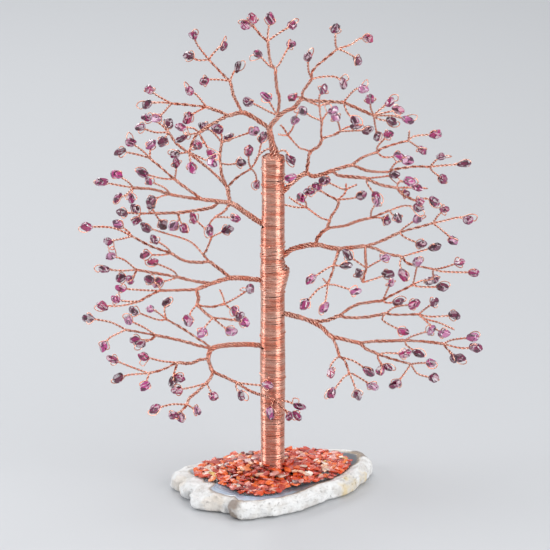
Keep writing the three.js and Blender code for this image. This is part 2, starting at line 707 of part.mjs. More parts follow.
// The mound of chips: rings of corners from the trunk's socket out to the outline, heaved up and down.
const moundRings = [0, 0.3, 0.6, 0.85, 1];
const moundBumps = 1;
const socketMargin = 0.4; // the heap stays this much further from the trunk's winding
function mound() {
  const bottom = slabTop + resinThickness + 2 * clearance;
  const edge = outlineOf(moundOutline, moundSpan / drawnMoundSpan);
  const hole = trunkSection(socket, edge.length).map((corner) => corner.length());
  const around = edge.length;
  const positions = [];
  moundRings.forEach((share, ring) => {
    edge.forEach((corner, i) => {
      const inner = corner.clone().setLength(hole[i] + socketMargin);
      const at = inner.lerp(corner, share);
      const heave = ring > 0 ? moundBumps * (chance(ring, i) - 0.5) : 0;
      const height = moundEdge + (moundHeight - moundEdge) * (1 - share) + heave;
      positions.push([at.x, at.y, bottom + height]);
    });
  });
  edge.forEach((corner) => positions.push([corner.x, corner.y, bottom]));
  edge.forEach((corner, i) => {
    const inner = corner.clone().setLength(hole[i] + socketMargin);
    positions.push([inner.x, inner.y, bottom]);
  });
  const index = [];
  const rows = moundRings.length + 2;
  for (let row = 0; row < rows; row++) {
    const next = (row + 1) % rows;
    for (let i = 0; i < around; i++) {
      const j = (i + 1) % around;
      const [a, b, c, d] = [row * around + i, row * around + j, next * around + j, next * around + i];
      index.push(a, c, b, a, d, c);
    }
  }
  const geometry = new THREE.BufferGeometry();
  geometry.setAttribute("position", new THREE.Float32BufferAttribute(positions.flat(), 3));
  geometry.setIndex(index);
  return geometry;
}
add("jasper_chips", mound(), jasper);

export default tree;
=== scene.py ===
"""A gemstone tree: twisted copper wire with garnet chips, a wound trunk, and jasper chips on an agate slice.

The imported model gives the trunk, the slice and the mound their places. The crown follows the same drawn
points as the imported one, with real strands, loops and stones in place of its plain tubes. Sizes here are in
millimetres and turn into metres where a mesh is made. X is to the right, Y to the back and Z up.
"""

import itertools
import math
import random

import bmesh
import bpy
import numpy as np
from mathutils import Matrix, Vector, noise


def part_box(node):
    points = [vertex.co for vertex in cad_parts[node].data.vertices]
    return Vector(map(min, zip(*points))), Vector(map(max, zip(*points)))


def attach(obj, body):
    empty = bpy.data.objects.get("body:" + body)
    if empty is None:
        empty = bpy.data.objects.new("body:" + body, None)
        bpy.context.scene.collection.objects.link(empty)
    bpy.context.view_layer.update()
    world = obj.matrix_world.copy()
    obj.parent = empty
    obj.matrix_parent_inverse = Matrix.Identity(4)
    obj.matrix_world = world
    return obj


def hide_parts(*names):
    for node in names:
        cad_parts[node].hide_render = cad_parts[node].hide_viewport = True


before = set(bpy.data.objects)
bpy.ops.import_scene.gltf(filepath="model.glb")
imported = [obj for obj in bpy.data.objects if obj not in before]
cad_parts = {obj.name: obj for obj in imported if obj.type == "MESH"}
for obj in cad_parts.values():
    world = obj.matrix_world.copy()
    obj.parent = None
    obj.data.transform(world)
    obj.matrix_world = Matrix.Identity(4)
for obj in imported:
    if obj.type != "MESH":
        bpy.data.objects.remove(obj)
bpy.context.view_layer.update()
MM = 0.001


def box_mm(node):
    low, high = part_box(node)
    return low / MM, high / MM


# ---------------------------------------------------------------- sizes

CORE_LOW, CORE_HIGH = box_mm("trunk_core")
GLUE_LOW, GLUE_HIGH = box_mm("resin_bed")
COLLAR_LOW, COLLAR_HIGH = box_mm("trunk_wrap_collar")
LOWER_WRAP_HIGH = box_mm("trunk_wrap_lower")[1]
TRUNK_RADIUS = CORE_HIGH.x
TRUNK_TOP = CORE_HIGH.z
SLAB_TOP = box_mm("agate_slice")[1].z

# The crown is drawn as it looks from in front and a little above, 58 mm deep, and then deepened.
CROWN_DEEPENING = 76 / 58
CROWN_PITCH = 0.306  # how much higher a point looks for each millimetre that it lies further back
CROWN_FAN = 3.5  # how far back or forward the next point lies where no depth is drawn
TRUNK_KEEP_OUT = 9.3  # beside the trunk no drawn point lies nearer to its axis than this

STRAND = 0.31  # radius of one copper wire
STRAND_SIDES = 6
PAIR_RADIUS = 0.62  # one twisted pair, which carries one chip
PAIR_OFFSET = PAIR_RADIUS - STRAND  # from the pair's middle to the middle of each wire
PAIR_LAY = 4.2  # length in which a pair twists once round
BOUND_OFFSET = 0.24  # the same offset where a pair is bound tight in a bundle
BOUND_LAY = PAIR_LAY * 0.85
BUNDLE_GROWTH = 0.27  # power by which a bundle thickens with the number of chips it carries
BUNDLE_LEAST = 1.3 * PAIR_RADIUS
BUNDLE_LAY = 7  # length in which the pairs of a thin bundle go once round it
BUNDLE_LAY_GROWTH = 6  # how much that length grows with each millimetre of the bundle's radius
PAIR_PACKING = 0.93  # neighbouring pairs in a bundle press into each other this far
CORE_TUBE_SIDES = 8
PAIR_WANDER = 0.12  # how far a pair strays in and out on its way along a bundle
ROUTE_STEP = 0.5  # about how far apart the points of a twig's curve lie
CHIP_RADIUS = 2.7
WINDING = 0.3  # radius of the fine wire wound round the trunk
WINDING_SIDES = 5
WINDING_PITCH = 0.57

# How open a wire's side is to the light: a share for how far it faces away from its neighbours, and a base.
# Where a side is less open, its copper colour is darkened as painted shade.
PAIR_OPENNESS = (0.9, 0.78)
BUNDLE_OPENNESS = (1.3, 0.33)
WINDING_OPENNESS = (1, 0.3)


# ---------------------------------------------------------------- materials


class Signal:
    """A value that changes over a surface. Arithmetic on it adds Math nodes."""

    def __init__(self, finish, socket):
        self.finish = finish
        self.socket = socket

    def maths(self, operation, *values):
        return self.finish.node("ShaderNodeMath", {"operation": operation}, *values)

    def __add__(self, other):
        return self.maths("ADD", self, other)

    def __sub__(self, other):
        return self.maths("SUBTRACT", self, other)

    def __rsub__(self, other):
        return self.maths("SUBTRACT", other, self)

    def __mul__(self, other):
        return self.maths("MULTIPLY", self, other)

    def __truediv__(self, other):
        return self.maths("DIVIDE", self, other)

    __radd__ = __add__
    __rmul__ = __mul__

    def either(self, other):
        """The larger of the two: one mark or the other."""
        return self.maths("MAXIMUM", self, other)


class Finish:
    """One material: a Principled shader and the nodes that feed it."""

    def __init__(self, name, **constants):
        self.material = bpy.data.materials.new(name)
        self.material.use_nodes = True
        self.tree = self.material.node_tree
        self.shader = self.tree.nodes["Principled BSDF"]
        for socket, value in constants.items():
            self.set(socket, value)
        self.place = self.node("ShaderNodeTexCoord", {}, output="Object")

    def node(self, kind, settings, *values, output=0, **named):
        """Adds a node: its settings first, then the values or links of its sockets, by place or by name."""
        made = self.tree.nodes.new(kind)
        for setting, value in settings.items():
            if setting == "stops":
                self.set_stops(made.color_ramp, value)
            elif setting == "interpolation":
                made.color_ramp.interpolation = value
            else:
                setattr(made, setting, value)
        for place, value in enumerate(values):
            if value is not None:
                self.feed(made.inputs[place], value)
        for socket, value in named.items():
            self.feed(made.inputs[socket], value)
        return Signal(self, made.outputs[output])

    def feed(self, socket, value):
        if isinstance(value, Signal):
            self.tree.links.new(value.socket, socket)
        else:
            socket.default_value = value

    def set(self, socket, value):
        self.feed(self.shader.inputs[socket.replace("_", " ").title().replace("Ior", "IOR")], value)

    @staticmethod
    def set_stops(ramp, stops):
        while len(ramp.elements) < len(stops):
            ramp.elements.new(0.5)
        for element, (position, colour) in zip(ramp.elements, stops):
            element.position = position
            element.color = (*colour, 1)

    def vectors(self, operation, first, second, output=0):
        return self.node("ShaderNodeVectorMath", {"operation": operation}, first, second, output=output)

    def mark(self, name):
        """A value that the mesh carries at its points or faces."""
        return self.node("ShaderNodeAttribute", {"attribute_name": name}, output="Fac")

    def each_stone(self):
        """A chance value from 0 to 1 for each separate stone."""
        return self.node("ShaderNodeNewGeometry", {}, output="Random Per Island")

    def noise(self, size, detail=2, stretch=(1, 1, 1), shift=0):
        """Soft noise from 0 to 1 with blotches of about this size in millimetres."""
        scaled = self.vectors("MULTIPLY", self.place, [1 / (size * MM * s) for s in stretch])
        moved = self.vectors("ADD", scaled, (shift, 2 * shift, 3 * shift))
        return self.node("ShaderNodeTexNoise", {}, Vector=moved, Scale=1.0, Detail=detail)

    def between(self, value, low, high):
        """0 below low and 1 above high, with a soft change between them."""
        return self.node("ShaderNodeMapRange", {"interpolation_type": "SMOOTHSTEP"}, value, low, high)

    def patches(self, size, detail, low, high, shift=0):
        """Noise drawn apart into patches of 1 on a ground of 0."""
        return self.between(self.noise(size, detail, shift=shift), low, high)

    def ramp(self, value, stops, interpolation="LINEAR"):
        return self.node("ShaderNodeValToRGB", {"stops": stops, "interpolation": interpolation}, value)

    def mix(self, factor, first, second):
        """One colour at a factor of 0 and the other at 1. The sockets for numbers and vectors stay unused."""
        colours = [value if isinstance(value, Signal) else (*value, 1) for value in (first, second)]
        unused = [None] * 5
        return self.node("ShaderNodeMix", {"data_type": "RGBA"}, factor, *unused, *colours, output=2)

    def spot(self, x, y, z, radius, ragged=0.0, seed=0):
        """A soft-edged mark round a point, 1 inside and 0 outside."""
        away = self.vectors("DISTANCE", self.place, (x * MM, y * MM, z * MM), output="Value")
        reach = away / (radius * MM)
        if ragged:
            reach = reach + (self.noise(radius * 0.5, 3, shift=seed) - 0.5) * ragged
        return 1 - self.between(reach, 0.6, 1.1)

    def bump(self, height, strength, depth):
        normal = self.node("ShaderNodeBump", {}, Strength=strength, Distance=depth * MM, Height=height)
        self.set("normal", normal)


COPPER_LIGHT = (0.98, 0.60, 0.48)
COPPER_RED = (0.88, 0.33, 0.22)
# The dark red that is painted as shade where wires lie against each other.
COPPER_PAINTED_SHADE = (0.36, 0.09, 0.055)


def copper_finish(name, blotch, stretch, roughness):
    """Bright copper, redder in patches, and duller where wires lie against each other, where a dark red is
    painted as shade.
    """
    finish = Finish(name, metallic=1.0)
    patches = finish.noise(blotch, 3, stretch)
    fine = finish.noise(blotch * 0.15, 2, stretch, shift=7)
    tone = finish.between(patches * 0.65 + fine * 0.35, 0.34, 0.62)
    # Painted shade: the colour goes to a dark red where a wire faces its neighbours.
    unshaded = finish.between(finish.mark("outward"), 0.0, 0.9)
    bright = finish.mix(tone, COPPER_RED, COPPER_LIGHT)
    finish.set("base_color", finish.mix(unshaded, COPPER_PAINTED_SHADE, bright))
    finish.set("roughness", roughness + (fine - 0.5) * 0.16 + (1 - unshaded) * 0.25)
    finish.bump(fine, 0.25, 0.03)
    return finish.material


def garnet_finish():
    """Purple-red garnet. Each stone has its own tone; some single facets are painted pale as painted
    highlights, and some near black as painted dark reflections.
    """
    finish = Finish("garnet", ior=1.76, transmission_weight=0.4, coat_weight=0.5, coat_roughness=0.02)
    tone = finish.ramp(finish.each_stone(), [
        (0.0, (0.15, 0.008, 0.05)), (0.25, (0.31, 0.012, 0.10)), (0.5, (0.47, 0.02, 0.18)),
        (0.7, (0.54, 0.02, 0.12)), (0.86, (0.68, 0.05, 0.34)), (1.0, (0.72, 0.36, 0.56))])
    facet = finish.mark("facet")
    # Painted light on single facets: a share is painted as pale glints, and another share as near-black dark
    # reflections.
    painted_glints = finish.between(facet, 0.76, 0.81)
    painted_dark_facets = 1 - finish.between(facet, 0.31, 0.37)
    shaded = finish.mix(painted_dark_facets * 0.85, tone, (0.03, 0.002, 0.012))
    cloud = finish.patches(1.6, 3, 0.42, 0.7)
    glinting = finish.mix(painted_glints * (0.45 + cloud * 0.55), shaded, (0.97, 0.90, 0.96))
    finish.set("base_color", glinting)
    finish.set("roughness", 0.03 + cloud * 0.08)
    return finish.material


def jasper_finish():
    """Red jasper chips: mostly brick to orange, with some pink, cream, yellow and dark stones."""
    finish = Finish("jasper", ior=1.54, coat_weight=0.35, coat_roughness=0.12)
    tone = finish.ramp(finish.each_stone(), [
        (0.0, (0.10, 0.015, 0.015)), (0.05, (0.30, 0.025, 0.02)), (0.14, (0.48, 0.04, 0.02)),
        (0.28, (0.74, 0.085, 0.02)), (0.48, (0.88, 0.15, 0.025)), (0.64, (0.62, 0.06, 0.03)),
        (0.72, (0.70, 0.18, 0.14)), (0.78, (0.82, 0.40, 0.34)), (0.83, (0.92, 0.24, 0.05)),
        (0.92, (0.82, 0.50, 0.34)), (0.96, (0.86, 0.70, 0.58)), (0.985, (0.74, 0.46, 0.12))], "CONSTANT")
    mottle = finish.patches(2.2, 4, 0.4, 0.68)
    vein = finish.patches(0.9, 3, 0.56, 0.7, shift=5)
    shaded = finish.mix(mottle * 0.35, tone, (0.26, 0.03, 0.02))
    finish.set("base_color", finish.mix(vein * 0.22, shaded, (0.80, 0.42, 0.30)))
    finish.set("roughness", 0.14 + mottle * 0.2)
    finish.bump(mottle, 0.2, 0.05)
    return finish.material


def agate_finish():
    """Polished blue-grey bands inside a chalky white rind, with a few rusty and brown stains."""
    finish = Finish("agate", ior=1.54)
    depth = finish.mark("inset") + (finish.noise(9, 4) - 0.5) * 5.5
    inside = finish.between(depth, 5.4, 6.6)
    cloud = finish.patches(16, 3, 0.36, 0.64, shift=3)
    lines = finish.node("ShaderNodeMath", {"operation": "SINE"}, depth * 2.6 + cloud * 3)
    face = finish.mix(cloud, (0.42, 0.52, 0.66), (0.24, 0.28, 0.35))
    face = finish.mix(finish.between(lines, -0.2, 0.9) * 0.35, face, (0.66, 0.70, 0.76))
    murk = finish.spot(26, -14, SLAB_TOP, 24, 0.8, 1).either(finish.spot(42, 22, SLAB_TOP, 16, 0.8, 2))
    face = finish.mix(murk * 0.85, face, (0.075, 0.065, 0.065))
    edge_line = finish.between(depth, 4.2, 5.6) * (1 - finish.between(depth, 6.2, 7.6))
    chalk = finish.noise(5, 5, shift=11)
    white = finish.mix(finish.between(chalk, 0.3, 0.6), (0.66, 0.64, 0.61), (0.82, 0.82, 0.81))
    cream = finish.spot(-30, -33, 5, 7, 0.9, 4).either(finish.spot(-49, -5, 5, 7, 0.9, 5))
    white = finish.mix(cream * 0.3, white, (0.74, 0.58, 0.40))
    rust = finish.spot(39, -5, 4, 8, 1.2, 6).either(finish.spot(45, 8, 2, 6, 1.2, 8))
    white = finish.mix(rust * finish.between(chalk, 0.3, 0.62) * 0.75, white, (0.64, 0.48, 0.20))
    brown = finish.spot(-20, -40, 1, 5.2, 0.5, 9).either(finish.spot(-19.5, -39, 6, 4.8, 0.5, 12))
    brown = brown.either(finish.spot(44, 32, 8, 6, 0.9, 10))
    white = finish.mix(brown * 0.85, white, (0.22, 0.16, 0.12))
    pits = finish.patches(1.3, 3, 0.60, 0.74, shift=13)
    white = finish.mix(pits * 0.25, white, (0.46, 0.40, 0.33))
    base = finish.mix(inside, white, face)
    finish.set("base_color", finish.mix(edge_line * 0.5, base, (0.45, 0.33, 0.2)))
    finish.set("roughness", 0.62 - inside * 0.5 + (chalk - 0.5) * 0.12)
    grain = chalk * 0.7 + pits * -0.5 + finish.noise(1.1, 4, shift=17) * 0.5
    finish.bump(grain * (1 - inside), 0.9, 1.1)
    return finish.material


def glue_finish():
    """Clear glue, a little milky in places."""
    finish = Finish("clear_glue", ior=1.48, transmission_weight=0.92)
    milk = finish.patches(4, 3, 0.45, 0.75)
    finish.set("base_color", finish.mix(milk, (0.86, 0.88, 0.90), (0.70, 0.71, 0.72)))
    finish.set("roughness", 0.06 + milk * 0.14)
    return finish.material


twig_copper = copper_finish("twig_copper", 5, (1, 1, 1), 0.2)
wound_copper = copper_finish("wound_copper", 6, (2.5, 2.5, 0.4), 0.26)
garnet_stone = garnet_finish()
jasper_stone = jasper_finish()
agate_stone = agate_finish()
clear_glue = glue_finish()


# ---------------------------------------------------------------- meshes


def piece(name, points, faces, material, slot, *nodes, smooth=True):
    """A named piece from points in millimetres. It rides on the one body and stands for the given nodes."""
    mesh = bpy.data.meshes.new(name)
    mesh.from_pydata((np.asarray(points) * MM).tolist(), [], faces)
    mesh.polygons.foreach_set("use_smooth", [smooth] * len(mesh.polygons))
    mesh.materials.append(material)
    mesh.update()
    made = bpy.data.objects.new(name, mesh)
    bpy.context.scene.collection.objects.link(made)
    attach(made, "root")
    if nodes:
        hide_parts(*nodes)
    return made


class Heap:
    """Collects the points and faces of many small solids for one mesh."""

    def __init__(self):
        self.points = []
        self.faces = []
        self.outward = []
        self.count = 0

    def add(self, points, faces, outward=1.0):
        """The third value says how far each point lies on the open side of its wire, from -1 to 1. Where it
        is low, the copper is painted with shade.
        """
        self.points.append(np.asarray(points, float))
        self.outward.append(np.broadcast_to(outward, (len(points),)))
        self.faces.extend([[i + self.count for i in face] for face in faces])
        self.count += len(points)

    def piece(self, name, *details, **options):
        made = piece(name, np.concatenate(self.points), self.faces, *details, **options)
        outward = made.data.attributes.new("outward", "FLOAT", "POINT")
        outward.data.foreach_set("value", np.concatenate(self.outward).astype(np.float32))
        return made


def unit(vectors):
    return vectors / np.maximum(np.linalg.norm(vectors, axis=-1, keepdims=True), 1e-9)


def smooth_route(points, step):
    """Points along a smooth curve through the given ones, and where the given ones lie in that list.
    Each point of the curve blends the straight lines through its four neighbours, nearest ones most."""
    points = np.asarray(points, float)
    ends = [2 * points[0] - points[1], *points, 2 * points[-1] - points[-2]]
    route = [points[0]]
    stops = [0]
    for p0, p1, p2, p3 in zip(ends, ends[1:], ends[2:], ends[3:]):
        t1 = max(np.linalg.norm(p1 - p0), 1e-6) ** 0.5
        t2 = t1 + max(np.linalg.norm(p2 - p1), 1e-6) ** 0.5
        t3 = t2 + max(np.linalg.norm(p3 - p2), 1e-6) ** 0.5
        count = max(2, math.ceil(np.linalg.norm(p2 - p1) / step))
        for t in np.linspace(t1, t2, count + 1)[1:]:
            a1 = (t1 - t) / t1 * p0 + t / t1 * p1
            a2 = (t2 - t) / (t2 - t1) * p1 + (t - t1) / (t2 - t1) * p2
            a3 = (t3 - t) / (t3 - t2) * p2 + (t - t2) / (t3 - t2) * p3
            b1 = (t2 - t) / t2 * a1 + t / t2 * a2
            b2 = (t3 - t) / (t3 - t1) * a2 + (t - t1) / (t3 - t1) * a3
            route.append((t2 - t) / (t2 - t1) * b1 + (t - t1) / (t2 - t1) * b2)
        stops.append(len(route) - 1)
    return np.array(route), stops


def tangents(route):
    return unit(np.gradient(route, axis=0))


def frames_along(route):
    """Two directions across a route at each point, turned as little as possible from point to point."""
    along = tangents(route)
    side = np.cross(along[0], (0, 1, 0) if abs(along[0][1]) < 0.9 else (1, 0, 0))
    sides = []
    for direction in along:
        side = side - direction * (side @ direction)
        side = side / np.linalg.norm(side)
        sides.append(side)
    sides = np.array(sides)
    return sides, np.cross(along, sides)


def lengths_along(route):
    return np.concatenate([[0], np.cumsum(np.linalg.norm(np.diff(route, axis=0), axis=1))])


def walls(rings, count, closed=False):
    """The four-sided faces between neighbouring rings of points. closed joins the last ring to the first."""
    faces = []
    for ring in range(rings if closed else rings - 1):
        after = (ring + 1) % rings
        for k in range(count):
            n = (k + 1) % count
            faces.append((ring * count + k, ring * count + n, after * count + n, after * count + k))
    return faces


def tube(heap, route, radius, sides, across=None, open_to=()):
    """A closed round tube along a route. across gives one direction across it at each point. open_to lists
    the directions in which nothing lies on it, each with the share and the base of its openness."""
    along = tangents(route)
    if across is None:
        first, second = frames_along(route)
    else:
        first = unit(across - along * np.sum(across * along, axis=1, keepdims=True))
        second = np.cross(along, first)
    turn = np.arange(sides) * (2 * math.pi / sides)
    ring = np.cos(turn)[None, :, None] * first[:, None] + np.sin(turn)[None, :, None] * second[:, None]
    reach = np.broadcast_to(np.asarray(radius, float), (len(route),))[:, None, None]
    points = (route[:, None] + ring * reach).reshape(-1, 3)
    # The openness sets how much painted shade the copper gets: the less open, the darker.
    marks = np.ones(ring.shape[:2])
    for direction, share, base in open_to:
        marks = np.minimum(marks, base + share * np.sum(ring * direction[:, None], axis=2))
    faces = walls(len(route), sides)
    last = (len(route) - 1) * sides
    faces.append(tuple(range(sides - 1, -1, -1)))
    faces.append(tuple(last + k for k in range(sides)))
    heap.add(points, faces, marks.ravel())


CORNER_TURN = 2.399963  # from one corner to the next, this turn spreads them evenly over a ball


def stone(size, corners, dice, rounding):
    """A tumbled chip: a hull of scattered corners with its edges taken off. size gives half lengths."""
    form = bmesh.new()
    for i in range(corners):
        height = 1 - 2 * (i + 0.5) / corners
        turn = i * CORNER_TURN + dice.uniform(-0.5, 0.5)
        reach = math.sqrt(1 - height * height)
        corner = Vector((reach * math.cos(turn), reach * math.sin(turn), height)) * dice.uniform(0.88, 1.1)
        form.verts.new([c * s for c, s in zip(corner, size)])
    hull = bmesh.ops.convex_hull(form, input=form.verts)
    unused = [v for v in hull["geom_interior"] if isinstance(v, bmesh.types.BMVert)]
    bmesh.ops.delete(form, geom=unused, context="VERTS")
    bmesh.ops.dissolve_limit(form, angle_limit=math.radians(14), verts=form.verts, edges=form.edges)
    bmesh.ops.bevel(form, geom=form.edges[:], offset=rounding, segments=1, affect="EDGES", profile=0.5)
    bmesh.ops.recalc_face_normals(form, faces=form.faces)
    form.verts.index_update()
    points = np.array([v.co for v in form.verts])
    faces = [[v.index for v in f.verts] for f in form.faces]
    form.free()
    return points, faces


def turned(points, along, across, centre):
    """Points set with their X along one direction and their Y near another, round a centre."""
    x = unit(np.asarray(along, float))
    z = unit(np.cross(x, across))
    y = np.cross(z, x)
    return points @ np.array([x, y, z]) + np.asarray(centre)


# ---------------------------------------------------------------- crown

